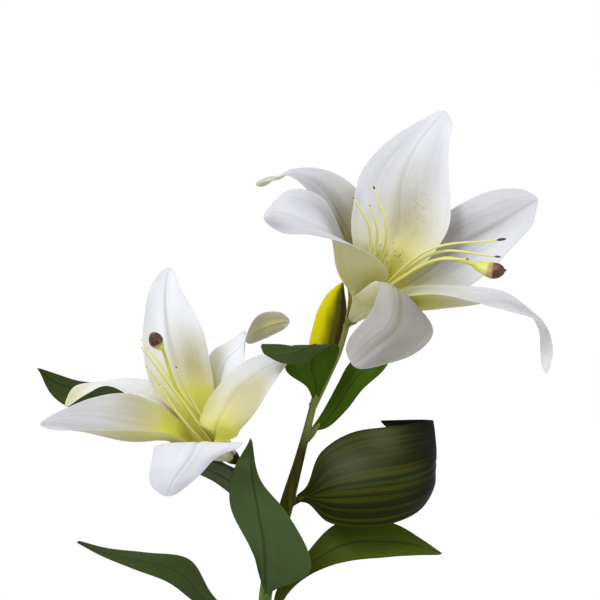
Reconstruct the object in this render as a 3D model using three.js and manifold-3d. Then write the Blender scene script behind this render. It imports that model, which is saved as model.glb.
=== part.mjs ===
// Potted oriental lily: one leafy stem with two open blooms and a bud, in a plain pot of soil.
// Millimetres, +Z up. The origin is the middle of the pot's flat underside, and -Y faces the viewer.
// Pot and soil are worked out from the driving dimensions. Petals, leaves and stems follow points placed
// by hand along the growth of each blade, as a botanist would sketch them.

import * as THREE from "three";
import { mergeVertices } from "three/addons/utils/BufferGeometryUtils.js";
import Module from "manifold-3d";

// Driving dimensions.
const POT_TOP_RADIUS = 69;
const POT_FOOT_RADIUS = 50;
const POT_HEIGHT = 126;
const POT_WALL = 4;
const RIM_HEIGHT = 19;
const RIM_STEP = 3;
const POT_EDGE = 1.5;
const FOOT_EDGE = 2;
const SOIL_LEVEL = 112;
const SOIL_LUMP = 1.6;
const SOIL_RINGS = [52, 40, 28, 16];
const STEM_FOOT = 58;
const STEM_RADIUS = 5.4;
const GAP = 0.3;
const BLADE_THICKNESS = 0.9;
const PETAL_RUFFLE = 1.2;
const FILAMENT_RADIUS = 0.65;
const ANTHER_RADIUS = 0.9;
const ANTHER_LENGTH = 5;
const OVARY_RADIUS = 1.2;
const STYLE_RADIUS = 1.1;
const STAMEN_RING_RADIUS = 2.3;
const STAMEN_RING_HEIGHT = 2.4;
const RECEPTACLE_RADIUS = 4.8;
const BUD_RADIUS = 10.7;
const BUD_LOBE = 0.06;
const LOWER_LEAVES = 6;
const LOWER_LEAF_LENGTH = 116;
const LOWER_LEAF_HEIGHT = 126;
const LOWER_LEAF_PITCH = 9;
const LOWER_LEAF_SHRINK = 4;
const LOWER_LEAF_DROOP = 0.12;
const LOWER_LEAF_CUP = 0.3;
const FIRST_LEAF_TURN = 25;
const GOLDEN_ANGLE = 137.5;

// Fineness of the faceted solids.
const BLADE_STEPS_PER_ROW = 2;
const BLADE_COLUMNS = 4;
const POT_SIDES = 40;
const SOIL_SIDES = 20;
const STEM_SIDES = 12;
const STALK_SIDES = 8;
const FILAMENT_SIDES = 5;
const BUD_SIDES = 18;

// Petals curve like a shallow bowl across, leaves more like an open book. At its tip a blade keeps
// this share of its width.
const PETAL_BOWL = 1.8;
const LEAF_BOWL = 1.4;
const TIP_SHARE = 0.5;

const material = (color, roughness) => new THREE.MeshStandardMaterial({ color, roughness, metalness: 0 });
const PETAL_WHITE = material(0xeceef2, 0.55);
const LEAF_GREEN = material(0x37502c, 0.5);
const STEM_GREEN = material(0x6a7634, 0.55);
const FILAMENT_GREEN = material(0xc8c850, 0.5);
const PISTIL_GREEN = material(0xb8bc3c, 0.5);
const BUD_GREEN = material(0xb0b010, 0.45);
const POT_CLAY = material(0xb4694a, 0.8);
const SOIL_BROWN = material(0x3a2a20, 0.95);

const vec = (p) => new THREE.Vector3(...p);
const root = new THREE.Group();

const wasm = await Module();
wasm.setup();

function addPiece(name, geometry, look) {
  const mesh = new THREE.Mesh(geometry, look);
  mesh.name = name;
  root.add(mesh);
}

// Joins closed geometries into one solid.
function join(geometries) {
  const solids = geometries.map((geometry) => {
    const bare = new THREE.BufferGeometry();
    bare.setAttribute("position", geometry.attributes.position);
    if (geometry.index) bare.setIndex(geometry.index);
    const merged = mergeVertices(bare, 1e-4);
    return new wasm.Manifold(
      new wasm.Mesh({
        numProp: 3,
        vertProperties: merged.attributes.position.array,
        triVerts: new Uint32Array(merged.index.array),
      }),
    );
  });
  const joined = solids.reduce((sum, solid) => sum.add(solid)).getMesh();
  const geometry = new THREE.BufferGeometry();
  geometry.setAttribute("position", new THREE.BufferAttribute(joined.vertProperties, 3));
  geometry.setIndex(new THREE.BufferAttribute(joined.triVerts, 1));
  return geometry;
}

// Skins a row of rings, each the same number of points, into one closed body. A ring's second half
// runs back along its first half, and its quads are split the other way, so both faces of a thin
// blade carry the same triangles.
function loft(rings) {
  const size = rings[0].length;
  const half = size / 2;
  const faces = [];
  for (let row = 0; row + 1 < rings.length; row++) {
    for (let i = 0; i < size; i++) {
      const a = row * size + i;
      const b = row * size + ((i + 1) % size);
      const c = b + size;
      const d = a + size;
      if (i < half) faces.push(a, b, c, a, c, d);
      else faces.push(a, b, d, b, c, d);
    }
  }
  const last = (rings.length - 1) * size;
  for (let i = 0; i + 1 < half; i++) {
    const j = size - 1 - i;
    faces.push(i, j, i + 1, i + 1, j, j - 1);
    faces.push(last + i, last + i + 1, last + j, last + i + 1, last + j - 1, last + j);
  }
  const geometry = new THREE.BufferGeometry();
  const points = rings.flat().flatMap((p) => [p.x, p.y, p.z]);
  geometry.setAttribute("position", new THREE.Float32BufferAttribute(points, 3));
  geometry.setIndex(faces);
  return geometry;
}

const curve = (points) => new THREE.CatmullRomCurve3(points.map(vec), false, "centripetal");

// A round stalk through points, whose radius at each point is the point's fourth number. `lobe`
// swells its cross-section into three lobes.
function stalk(knots, sides, steps, lobe = 0) {
  const path = curve(knots.map((k) => k.slice(0, 3)));
  const radii = new THREE.CatmullRomCurve3(knots.map((k) => new THREE.Vector3(k[3], 0, 0)));
  const rings = [];
  const start = path.getTangent(0);
  let side = new THREE.Vector3(1, 0, 0).addScaledVector(start, -start.x).normalize();
  for (let step = 0; step <= steps; step++) {
    const t = step / steps;
    const along = path.getTangent(t);
    side = side.clone().addScaledVector(along, -side.dot(along)).normalize();
    const other = along.clone().cross(side);
    const centre = path.getPoint(t);
    const radius = radii.getPoint(t).x;
    const ring = [];
    for (let i = 0; i < sides; i++) {
      const turn = (2 * Math.PI * i) / sides;
      const reach = radius * (1 + lobe * Math.cos(3 * turn));
      ring.push(
        centre
          .clone()
          .addScaledVector(side, reach * Math.cos(turn))
          .addScaledVector(other, reach * Math.sin(turn)),
      );
    }
    rings.push(ring);
  }
  return loft(rings);
}

// A thin petal or leaf. Each row of `rows` crosses the blade: left edge, midrib and right edge, seen
// from its upper face with the base below. A place on it is u, from base to tip, and v, from -1 on
// the left edge to 1 on the right. `bowl` shapes the curve across, `wave` ruffles the edges.
const RUFFLES = 2.5;
const NEAR_ALONG = 0.01;
const NEAR_ACROSS = 0.1;
function blade(rows, { bowl, wave = 0, phase = 0 }) {
  const lines = [0, 1, 2].map((place) => curve(rows.map((row) => row[place])));
  const point = (u, v) => {
    const [left, middle, right] = lines.map((line) => line.getPoint(u));
    const across = right.clone().sub(left).multiplyScalar(v / 2);
    const cup = left.add(right).multiplyScalar(0.5).sub(middle);
    return middle.add(across).addScaledVector(cup, Math.abs(v) ** bowl);
  };
  const normal = (u, v) => {
    const ahead = point(Math.min(1, u + NEAR_ALONG), v);
    const behind = point(Math.max(0, u - NEAR_ALONG), v);
    const right = point(u, Math.min(1, v + NEAR_ACROSS));
    const left = point(u, Math.max(-1, v - NEAR_ACROSS));
    return right.sub(left).cross(ahead.sub(behind)).normalize();
  };
  const ruffle = (u, v) => {
    const fade = Math.abs(v) ** 3 * Math.sin(Math.PI * u);
    return wave * fade * Math.sin(2 * Math.PI * RUFFLES * u + phase + v);
  };
  const steps = BLADE_STEPS_PER_ROW * (rows.length - 1);
  const rings = [];
  for (let step = 0; step <= steps; step++) {
    const u = step / steps;
    const share = step === steps ? TIP_SHARE : 1;
    const upper = [];
    const lower = [];
    for (let column = 0; column <= BLADE_COLUMNS; column++) {
      const v = share * ((2 * column) / BLADE_COLUMNS - 1);
      const n = normal(u, v);
      const centre = point(u, v).addScaledVector(n, ruffle(u, v));
      upper.push(centre.clone().addScaledVector(n, BLADE_THICKNESS / 2));
      lower.unshift(centre.clone().addScaledVector(n, -BLADE_THICKNESS / 2));
    }
    rings.push([...upper, ...lower]);
  }
  return loft(rings);
}

// Pot: a plain turned pot with a thick rim, a flat foot and no hole in its middle.
const wallSlope = (POT_TOP_RADIUS - RIM_STEP - POT_FOOT_RADIUS) / POT_HEIGHT;
const wallRadius = (z) => POT_FOOT_RADIUS + wallSlope * z;
const boreRadius = (z) => wallRadius(z) - POT_WALL;
const rimBottom = POT_HEIGHT - RIM_HEIGHT;
const turned = (profile, sides) => {
  const shape = profile.map(([r, z]) => new THREE.Vector2(r, z));
  return new THREE.LatheGeometry(shape, sides).rotateX(Math.PI / 2);
};
const potProfile = [
  [0, 0],
  [POT_FOOT_RADIUS - FOOT_EDGE, 0],
  [wallRadius(FOOT_EDGE), FOOT_EDGE],
  [wallRadius(rimBottom), rimBottom],
  [POT_TOP_RADIUS - POT_EDGE, rimBottom],
  [POT_TOP_RADIUS, rimBottom + POT_EDGE],
  [POT_TOP_RADIUS, POT_HEIGHT - POT_EDGE],
  [POT_TOP_RADIUS - POT_EDGE, POT_HEIGHT],
  [boreRadius(POT_HEIGHT) + POT_EDGE, POT_HEIGHT],
  [boreRadius(POT_HEIGHT), POT_HEIGHT - POT_EDGE],
  [boreRadius(POT_WALL), POT_WALL],
  [0, POT_WALL],
];
addPiece("pot", turned(potProfile, POT_SIDES), POT_CLAY);

// Soil: fills the pot to just below the rim, with a plain hole that the stem stands in.
const soilRadius = (z) => boreRadius(z) - GAP;
const holeRadius = STEM_RADIUS + GAP;
const soilProfile = [
  [0, POT_WALL + GAP],
  [soilRadius(POT_WALL), POT_WALL + GAP],
  [soilRadius(SOIL_LEVEL), SOIL_LEVEL],
  ...SOIL_RINGS.map((radius) => [radius, SOIL_LEVEL]),
  [holeRadius, SOIL_LEVEL],
  [holeRadius, STEM_FOOT - GAP],
  [0, STEM_FOOT - GAP],
];
const lump = (x, y) => Math.sin(0.13 * x + 1) * Math.cos(0.17 * y) + Math.sin(0.31 * x - 0.23 * y);
const soil = turned(soilProfile, SOIL_SIDES);
const spots = soil.attributes.position;
for (let i = 0; i < spots.count; i++) {
  const [x, y, z] = [spots.getX(i), spots.getY(i), spots.getZ(i)];
  const reach = Math.hypot(x, y);
  const onTop = z > SOIL_LEVEL - 1 && reach > holeRadius + 1 && reach < SOIL_RINGS[0] + 1;
  if (onTop) spots.setZ(i, z + SOIL_LUMP * lump(x, y));
}
addPiece("soil", soil, SOIL_BROWN);

// Each bloom grows on its receptacle, and faces along its axis. Spots round that axis are given by
// the distance along it, the radius and the turn in degrees, from straight up towards the right.
function bloomFrame(base, axis) {
  const centre = vec(base);
  const along = vec(axis).normalize();
  const up = new THREE.Vector3(0, 0, 1).addScaledVector(along, -along.z).normalize();
  const side = up.clone().cross(along);
  return (distance, radius, turn) => {
    const angle = THREE.MathUtils.degToRad(turn);
    return centre
      .clone()
      .addScaledVector(along, distance)
      .addScaledVector(up, radius * Math.cos(angle))
      .addScaledVector(side, radius * Math.sin(angle))
      .toArray();
  };
}

// Where the inner and outer ring of petals stand in the funnel: distance along the axis, radius and
// half the angle that a petal spans.
const FUNNEL = {
  inner: [
    [GAP + 0.1, 3.0, 50],
    [22, 11, 40],
  ],
  outer: [
    [GAP + 0.1, 4.4, 48],
    [22, 14, 40],
  ],
};

const BLOOMS = {
  right: {
    base: [57, -10, 384],
    axis: [0.42, -0.7, 0.58],
    petals: {
      top: {
        ring: "inner",
        turn: 30,
        rows: [
          [[57, -44, 431], [80, -32, 428], [103, -42, 419]],
          [[56, -33, 452], [86, -20, 443], [118, -30, 441]],
          [[62, -18, 477], [89, -8, 473], [118, -18, 475]],
          [[84, -6, 501], [101, 0, 498], [120, -6, 499]],
          [[110, 4, 517.4], [117.2, 4, 517.8], [122.7, 3, 511]],
        ],
      },
      right: {
        ring: "outer",
        turn: 90,
        rows: [
          [[92, -21, 424], [100, -26, 411], [104, -35, 396]],
          [[117, -12, 450], [122, -21, 428], [128, -26, 402]],
          [[144, -14, 465], [152, -18, 445], [157, -30, 427]],
          [[162, -12, 467], [167, -14, 454], [172, -20, 443]],
          [[172, -12, 465], [176.4, -12, 460], [175.4, -14, 453]],
        ],
      },
      lower: {
        ring: "inner",
        turn: 150,
        rows: [
          [[97, -35, 404], [96, -46, 389], [86, -62, 396]],
          [[127, -33, 403], [123, -50, 391.5], [117, -70, 398]],
          [[160, -22, 398], [156, -42, 394], [152, -62, 389]],
          [[174.8, -26, 379.6], [177, -38, 381.6], [176.9, -48, 378.5]],
          [[176.5, -30, 364], [182, -36, 364], [183.5, -42, 363]],
          [[177.5, -33, 350.5], [180, -36, 348.3], [181.7, -38, 350.5]],
        ],
      },
      front: {
        ring: "outer",
        turn: 210,
        rows: [
          [[84, -47, 384], [72, -58, 390], [57, -60, 397]],
          [[99, -60, 389], [84, -75, 402], [72, -72, 407]],
          [[106, -76, 375], [84, -88, 379], [68, -84, 389]],
          [[93, -82, 361], [69, -88, 365], [53, -82, 371]],
          [[62, -82, 351], [56, -82, 354], [51, -80, 362]],
        ],
      },
      left: {
        ring: "inner",
        turn: 270,
        rows: [
          [[78, -60, 411], [48, -54, 412], [56, -31, 421]],
          [[59, -84, 429], [42, -74, 436], [46, -46, 444]],
          [[32, -88, 434], [26, -72, 444], [34, -52, 462]],
          [[12, -78, 437], [10, -68, 450], [17, -58, 465]],
          [[1, -64, 443], [0, -62, 448], [3, -60, 454]],
        ],
      },
      back: {
        ring: "outer",
        turn: 330,
        rows: [
          [[48, -29, 420], [57, -25, 430], [70, -26, 432]],
          [[42, -34, 447], [47, -23, 453], [59, -21, 466]],
          [[30, -34, 463], [34, -18, 470], [42, -10, 477.3]],
          [[17, -30, 473], [16, -20, 476.5], [17, -8, 479.5]],
          [[9, -27, 474.5], [9, -26, 473], [8, -17, 475.5]],
          [[1, -22, 473.5], [1, -28, 471], [2, -23, 468.8]],
          [[-4.6, -22, 471.6], [-5.6, -26, 469.4], [-4.4, -24, 467]],
        ],
      },
    },
    filaments: [
      [[78, -44, 438], [70, -50, 465]],
      [[105, -51, 427], [147.6, -50, 433]],
      [[109, -48, 425], [146, -56, 422.5]],
      [[106, -58, 419.6], [127, -70, 420.7]],
      [[67, -54, 439], [57, -62, 458.6]],
      [[72, -48, 437], [67, -56, 454]],
    ],
    filamentTurn: 30,
    stigma: 5.2,
    style: [[114, -60, 421.5], [129, -64, 418.3], [144, -68, 413.1], [151.5, -69.5, 413.6]],
  },
  left: {
    base: [-22, -10, 294],
    axis: [-0.68, -0.5, 0.53],
    petals: {
      top: {
        ring: "inner",
        turn: 330,
        rows: [
          [[-70, -24, 337], [-52, -14, 340], [-33, -18, 341]],
          [[-79, -20, 372], [-61, -10, 372], [-38, -18, 371]],
          [[-76, -8, 397], [-64, -2, 395], [-49, -8, 392]],
          [[-72.6, -1, 407], [-63.7, 2, 408], [-56, -1, 406]],
          [[-67.5, 3, 414.5], [-62.4, 4, 416], [-58, 3, 413]],
        ],
      },
      back: {
        ring: "outer",
        turn: 30,
        rows: [
          [[-36, 0, 359], [-27, -6, 352], [-15, -14, 350]],
          [[-22, 10, 369.5], [-16, 2, 365], [-12.5, -8, 361]],
          [[-14, 14, 374], [-13, 5, 370], [-12.6, -4, 367.8]],
          [[-10, 15, 367], [-11, 6, 371.5], [-12, -2, 375]],
          [[-6, 14, 368], [-7, 8, 375], [-8, 0, 381]],
          [[0, 11, 370], [0, 8, 378], [0, 4, 386.5]],
          [[10, 10, 374.5], [11, 8, 381], [10, 6, 387]],
          [[15, 8, 377.5], [16, 8, 381], [15, 7, 384.5]],
        ],
      },
      right: {
        ring: "inner",
        turn: 90,
        rows: [
          [[-41, -36, 315], [-31, -41, 312], [-18, -40, 308.6]],
          [[-34, -27, 333], [-28, -45, 321], [-15, -44, 312]],
          [[-24, -24, 347], [-17, -38, 338], [-2, -46, 329]],
          [[-6, -18, 358.5], [0, -28, 351], [7, -40, 344]],
          [[8.6, -18, 362], [15, -20, 357.5], [13, -25, 351.5]],
        ],
      },
      front: {
        ring: "outer",
        turn: 150,
        rows: [
          [[-14, -48, 303], [-42, -54, 305], [-69, -50, 303]],
          [[-31, -58, 294], [-46, -66, 296], [-70, -62, 294]],
          [[-43, -64, 283], [-56, -68, 282], [-72, -64, 281]],
          [[-53, -63, 273.5], [-61, -64, 271.5], [-69, -63, 275]],
        ],
      },
      left: {
        ring: "inner",
        turn: 210,
        rows: [
          [[-58, -46, 309], [-62, -38, 306], [-54, -24, 318]],
          [[-88, -58, 313], [-88, -46, 307], [-83, -28, 334]],
          [[-113, -62, 313], [-113, -50, 314], [-111, -34, 332]],
          [[-127, -58, 313], [-129, -52, 317], [-127, -44, 326]],
          [[-139, -54, 314], [-141, -52, 316], [-138, -50, 320]],
        ],
      },
      far: {
        ring: "outer",
        turn: 270,
        rows: [
          [[-67, -26, 316], [-63, -14, 327], [-54, -3, 338]],
          [[-83, -18, 331], [-86, -8, 337], [-82, 6, 342.5]],
          [[-102, -18, 339], [-104, -6, 341], [-105, 6, 343]],
          [[-116, -18, 334], [-120, -8, 338], [-123, 2, 339]],
          [[-127, -14, 326], [-129, -10, 326], [-130, -6, 328]],
        ],
      },
    },
    filaments: [
      [[-46, -41, 331], [-55, -60, 352]],
      [[-54, -50, 334], [-76.5, -72, 365]],
      [[-54, -46, 322], [-65.5, -60, 341.4]],
      [[-58, -36, 330], [-74, -50, 352]],
      [[-56, -28, 334], [-68, -36, 350.2]],
      [[-57, -30, 341], [-78.5, -36, 369.5]],
    ],
    filamentTurn: 60,
    stigma: 4.5,
    style: [[-55.4, -46, 338], [-64.1, -50, 363.3], [-68.3, -62, 369.8], [-69, -67, 373.6]],
  },
};

for (const [name, bloom] of Object.entries(BLOOMS)) {
  const spot = bloomFrame(bloom.base, bloom.axis);

  Object.entries(bloom.petals).forEach(([place, petal], index) => {
    const funnel = FUNNEL[petal.ring].map(([distance, radius, span]) => [
      spot(distance, radius, petal.turn - span),
      spot(distance, radius, petal.turn),
      spot(distance, radius, petal.turn + span),
    ]);
    const shape = { bowl: PETAL_BOWL, wave: PETAL_RUFFLE, phase: index };
    addPiece(`petal_${name}_${place}`, blade([...funnel, ...petal.rows], shape), PETAL_WHITE);
  });

  // Six filaments rise from a low ring round the pistil, each with a small anther across its tip.
  const pieces = [stamenRing(spot)];
  bloom.filaments.forEach(([middle, tip], index) => {
    const turn = 60 * index + bloom.filamentTurn;
    const end = vec(tip);
    const ahead = end.clone().sub(vec(middle)).normalize();
    const past = (length, radius) => [...end.clone().addScaledVector(ahead, length).toArray(), radius];
    const filament = [
      [...spot(1.5, STAMEN_RING_RADIUS - 0.4, turn), FILAMENT_RADIUS],
      [...spot(14, 3.8, turn), FILAMENT_RADIUS],
      [...middle, FILAMENT_RADIUS],
      [...tip, FILAMENT_RADIUS],
    ];
    const anther = [
      past(-ANTHER_LENGTH / 5, FILAMENT_RADIUS),
      past((ANTHER_LENGTH * 2) / 5, ANTHER_RADIUS),
      past((ANTHER_LENGTH * 4) / 5, FILAMENT_RADIUS * 0.6),
    ];
    pieces.push(stalk(filament, FILAMENT_SIDES, 8), stalk(anther, FILAMENT_SIDES + 1, 3));
  });
  addPiece(`stamens_${name}`, join(pieces), FILAMENT_GREEN);

  // The pistil is an ovary in the middle, a long style and a swollen stigma.
  const [bend, neck, crown, top] = bloom.style.map(vec);
  const between = (from, to, part, radius) => [...from.clone().lerp(to, part).toArray(), radius];
  const pistil = [
    [...spot(GAP, 0, 0), OVARY_RADIUS],
    [...spot(14, 0, 0), OVARY_RADIUS],
    between(bend, neck, 0, STYLE_RADIUS),
    between(bend, neck, 1, STYLE_RADIUS),
    between(neck, crown, 0.42, bloom.stigma * 0.64),
    between(neck, crown, 1, bloom.stigma),
    between(crown, top, 0.6, bloom.stigma * 0.76),
    between(crown, top, 1, bloom.stigma * 0.25),
  ];
  addPiece(`pistil_${name}`, stalk(pistil, STALK_SIDES, 21), PISTIL_GREEN);
}

// A low ring on the receptacle that the filaments grow from, with room for the ovary inside it.
function stamenRing(spot) {
  const inner = OVARY_RADIUS + GAP;
  const outer = STAMEN_RING_RADIUS;
  const sides = 12;
  const points = [];
  for (let i = 0; i < sides; i++) {
    const turn = (360 * i) / sides;
    points.push(spot(GAP, inner, turn), spot(GAP, outer, turn));
    points.push(spot(STAMEN_RING_HEIGHT, outer, turn), spot(STAMEN_RING_HEIGHT, inner, turn));
  }
  const faces = [];
  for (let i = 0; i < sides; i++) {
    const next = (i + 1) % sides;
    for (let j = 0; j < 4; j++) {
      const k = (j + 1) % 4;
      faces.push(i * 4 + j, next * 4 + k, next * 4 + j, i * 4 + j, i * 4 + k, next * 4 + k);
    }
  }
  const geometry = new THREE.BufferGeometry();
  geometry.setAttribute("position", new THREE.Float32BufferAttribute(points.flat(), 3));
  geometry.setIndex(faces);
  return geometry;
}

// Stem: the main stem with both flower stalks and the bud's stalk, each with its receptacle.
const receptacle = ({ base, axis }) => {
  const spot = bloomFrame(base, axis);
  const knots = [
    [...spot(-12, 0, 0), 2],
    [...spot(-7, 0, 0), 2.6],
    [...spot(-2.5, 0, 0), RECEPTACLE_RADIUS - 0.4],
    [...spot(0, 0, 0), RECEPTACLE_RADIUS],
  ];
  return stalk(knots, STEM_SIDES, 6);
};
const under = ({ base, axis }, distance) => bloomFrame(base, axis)(-distance, 0, 0);
const mainStem = [
  [0, 0, STEM_FOOT, STEM_RADIUS],
  [0, 0, 130, STEM_RADIUS],
  [0, 0, 172, 5.1],
  [0, 0, 200, 4.3],
  [5.5, 0, 230, 4.6],
  [14, 0, 262, 4.6],
  [21.6, 0, 289, 3.3],
  [27.4, 0, 311, 2.6],
  [32.5, 0, 331, 2.4],
  [36, 4, 343, 2.5],
];
const rightStalk = [
  [31, 0, 324, 2],
  [40, -3, 343, 1.9],
  [48, -5, 361, 1.9],
  [...under(BLOOMS.right, 9), 2],
];
const leftStalk = [
  [13, 0, 253, 2.4],
  [2, -2, 262, 2.3],
  [-9, -3, 275, 2.2],
  [...under(BLOOMS.left, 9), 2.2],
];
const stems = [
  stalk(mainStem, STEM_SIDES, 26),
  stalk(rightStalk, STALK_SIDES, 8),
  stalk(leftStalk, STALK_SIDES, 8),
  receptacle(BLOOMS.right),
  receptacle(BLOOMS.left),
];
addPiece("stem", join(stems), STEM_GREEN);

// Bud: closed, three-lobed and pointed, on the end of the main stem.
const bud = [
  [36.2, 4.3, 343.6, 3],
  [36.8, 7, 352, BUD_RADIUS * 0.8],
  [38.6, 11, 366, BUD_RADIUS],
  [42.6, 14, 383, BUD_RADIUS * 0.97],
  [46, 15, 396, BUD_RADIUS * 0.66],
  [50.6, 15, 406.5, 0.8],
];
addPiece("bud", stalk(bud, BUD_SIDES, 12, BUD_LOBE), BUD_GREEN);

// Leaves, from the top down. Rows run from the stalk to the tip.
const LEAVES = {
  leaf_bud: [
    [[31, -3.8, 331], [33, -3.8, 331], [35, -3.8, 332]],
    [[27, -10, 339], [33, -9, 341], [39, -8, 341]],
    [[14, -12, 349], [30, -15, 352], [46, -9, 356]],
    [[13, -14, 358], [32, -19, 361], [48, -14, 364]],
    [[18, -22, 365.5], [33, -26, 366], [44, -26, 366.5]],
    [[19, -29, 365], [26, -34, 364], [34, -37, 361]],
    [[12, -32, 366.5], [17, -39, 361.5], [25, -43, 354.5]],
    [[5, -33, 366.8], [6, -40, 361], [11, -44, 355]],
    [[-2, -35, 367], [-2, -38, 365], [-1, -41, 361]],
  ],
  leaf_under_right_bloom: [
    [[31, -1, 313], [31.5, -1, 311.6], [31.5, -1, 310]],
    [[34, -2, 317], [37, -3, 314], [40, -3, 312]],
    [[39, -2, 325], [47, -7, 327], [53, -8, 324]],
    [[46, -2, 338], [56, -9, 341], [63, -10, 337]],
    [[56, -2, 355], [68, -9, 354], [77, -10, 350]],
    [[71, -1, 366], [78, -4, 365], [84, -6, 362]],
    [[85, 0, 373], [86, 0, 373], [87, 0, 372]],
  ],
  leaf_curled: [
    [[20.6, -1, 268], [21.6, -1, 266], [20.6, -1, 264]],
    [[27, -3, 274], [30, -5, 268], [28, -4, 263]],
    [[36, -10, 296], [45, -17, 273], [40, -12, 252]],
    [[56, -8, 309], [68, -23, 277], [60, -12, 248]],
    [[79, -4, 312.5], [90, -21, 280], [85, -10, 251]],
    [[97, 3, 314.5], [107, -10, 285], [102, -2, 260]],
    [[110, 12, 316], [111.5, 3, 290], [110, 6, 274]],
    [[104, 22, 316.3], [106, 18, 300], [106, 15, 286]],
    [[90, 26, 316], [91, 24, 308], [93, 22, 299]],
    [[76, 27, 315.6], [76, 27, 315], [77, 26, 313.6]],
  ],
  leaf_behind_left_bloom: [
    [[-13.6, -1, 280], [-14.6, -1, 282], [-15.8, -1, 284]],
    [[-29, 13, 283], [-30, 14, 287], [-31, 15, 291]],
    [[-67, 20, 304], [-69, 24, 316], [-71, 24, 329]],
    [[-99, 26, 314], [-103, 30, 327], [-104, 30, 338.8]],
    [[-129, 26, 324], [-128, 30, 336], [-125, 30, 342]],
    [[-141, 25, 333], [-141, 28, 342], [-137, 28, 346]],
    [[-149, 24, 349], [-150, 24, 350], [-148, 24, 350]],
  ],
  leaf_under_left_bloom: [
    [[2.6, 2, 238], [3.1, 3, 240], [2.8, 4, 243]],
    [[-4, 6, 248], [-2, 7, 251], [0, 8, 254]],
    [[-19, -2, 266], [-15, 3, 269], [-11, 5, 272]],
    [[-32, -8, 277], [-29, -4, 281], [-25, -1, 286]],
    [[-47, -12, 285], [-45, -9, 288], [-42, -5, 291]],
    [[-54, -12, 292], [-55, -12, 293], [-53, -12, 293]],
  ],
  leaf_front: [
    [[-1, -5.3, 201], [0.6, -5.3, 201], [2.2, -5.3, 201]],
    [[-0.6, -8, 206], [0.8, -7.6, 206], [4.6, -8, 206.2]],
    [[-1.8, -12, 212.2], [0.4, -10, 211.4], [19, -14, 212.6]],
    [[-3.4, -17, 221], [-0.2, -14, 220], [29.2, -19, 220.6]],
    [[-9.3, -25, 236], [-0.4, -21, 235.6], [28, -24, 233]],
    [[-22, -30, 264], [-4, -28, 259], [14, -32, 259]],
    [[-20, -26, 285], [-8, -28, 283], [-3, -34, 281]],
    [[-10, -22, 304], [-9, -22, 306], [-8, -22, 304]],
  ],
  leaf_lower_right: [
    [[4.8, 1, 190], [5.7, 1, 188], [5.7, 1, 186]],
    [[7.8, 3, 206.5], [11.2, 3, 205.2], [15, 3, 204]],
    [[23, 8, 224.5], [26, 6, 220.5], [29, 3, 216]],
    [[48, 16, 249], [53, 8, 236], [52, -2, 225]],
    [[83, 14, 249], [85, 8, 237], [81, 0, 228]],
    [[102, 9, 239], [102, 6, 234], [101, 2, 229]],
    [[114, 4, 231], [115, 4, 230], [114, 4, 229]],
  ],
  leaf_lower_left: [
    [[-5.8, -2, 166], [-5.8, -2, 168], [-5.5, -2, 170]],
    [[-17, -8, 176], [-16, -6, 180], [-14, -4, 184]],
    [[-47, -20, 202], [-40, -14, 203], [-34, -6, 204]],
    [[-62, -26, 214], [-56, -18, 220], [-49, -8, 227]],
    [[-86, -26, 223], [-81, -20, 227], [-77, -10, 232]],
    [[-104, -22, 230], [-103, -20, 232], [-101, -16, 235]],
    [[-120, -18, 238], [-121, -18, 239], [-120, -18, 240]],
  ],
};
for (const [name, rows] of Object.entries(LEAVES)) {
  addPiece(name, blade(rows, { bowl: LEAF_BOWL }), LEAF_GREEN);
}

// Leaves on the lower stem, set round it by the golden angle. Each row gives how far along the leaf
// it lies, how far out and up from the leaf's root, and the half width, for a leaf of length 1.
const LOWER_LEAF_ARCH = [
  [0, 0, 0.015],
  [0.14, 0.1, 0.045],
  [0.4, 0.27, 0.12],
  [0.68, 0.36, 0.11],
  [0.88, 0.34, 0.06],
  [1, 0.29, 0.012],
];
for (let index = 0; index < LOWER_LEAVES; index++) {
  const turn = THREE.MathUtils.degToRad(FIRST_LEAF_TURN + GOLDEN_ANGLE * index);
  const height = LOWER_LEAF_HEIGHT + LOWER_LEAF_PITCH * index;
  const length = LOWER_LEAF_LENGTH - LOWER_LEAF_SHRINK * index;
  const droop = LOWER_LEAF_DROOP * index;
  const foot = STEM_RADIUS + 2 * GAP - 0.035 * index;
  const out = new THREE.Vector3(Math.cos(turn), Math.sin(turn), 0);
  const across = new THREE.Vector3(Math.sin(turn), -Math.cos(turn), 0);
  const rows = LOWER_LEAF_ARCH.map(([reach, rise, width]) => {
    const middle = out.clone().multiplyScalar(foot + reach * length);
    middle.z = height + rise * length * (1 - droop * reach);
    return [-1, 0, 1].map((side) => {
      const place = middle.clone().addScaledVector(across, side * width * length);
      place.z += Math.abs(side) * LOWER_LEAF_CUP * width * length;
      return place.toArray();
    });
  });
  addPiece(`leaf_low_${index + 1}`, blade(rows, { bowl: LEAF_BOWL }), LEAF_GREEN);
}

export default root;
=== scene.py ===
# %% [markdown]
# # A potted oriental lily
# The plant is dressed over a fixed frame of plain solids. Each finished piece takes the place of one
# solid, stays where that solid is, and adds what the solid is too coarse for: edges as thin as a real
# petal's, the crease down its middle, veins, colour that runs from a green throat to a white tip, and
# loose earth in the pot. Lengths are written in millimetres, because a grower thinks in them, and turned
# into metres when a mesh is made.

# %% Load the frame
import math

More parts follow.
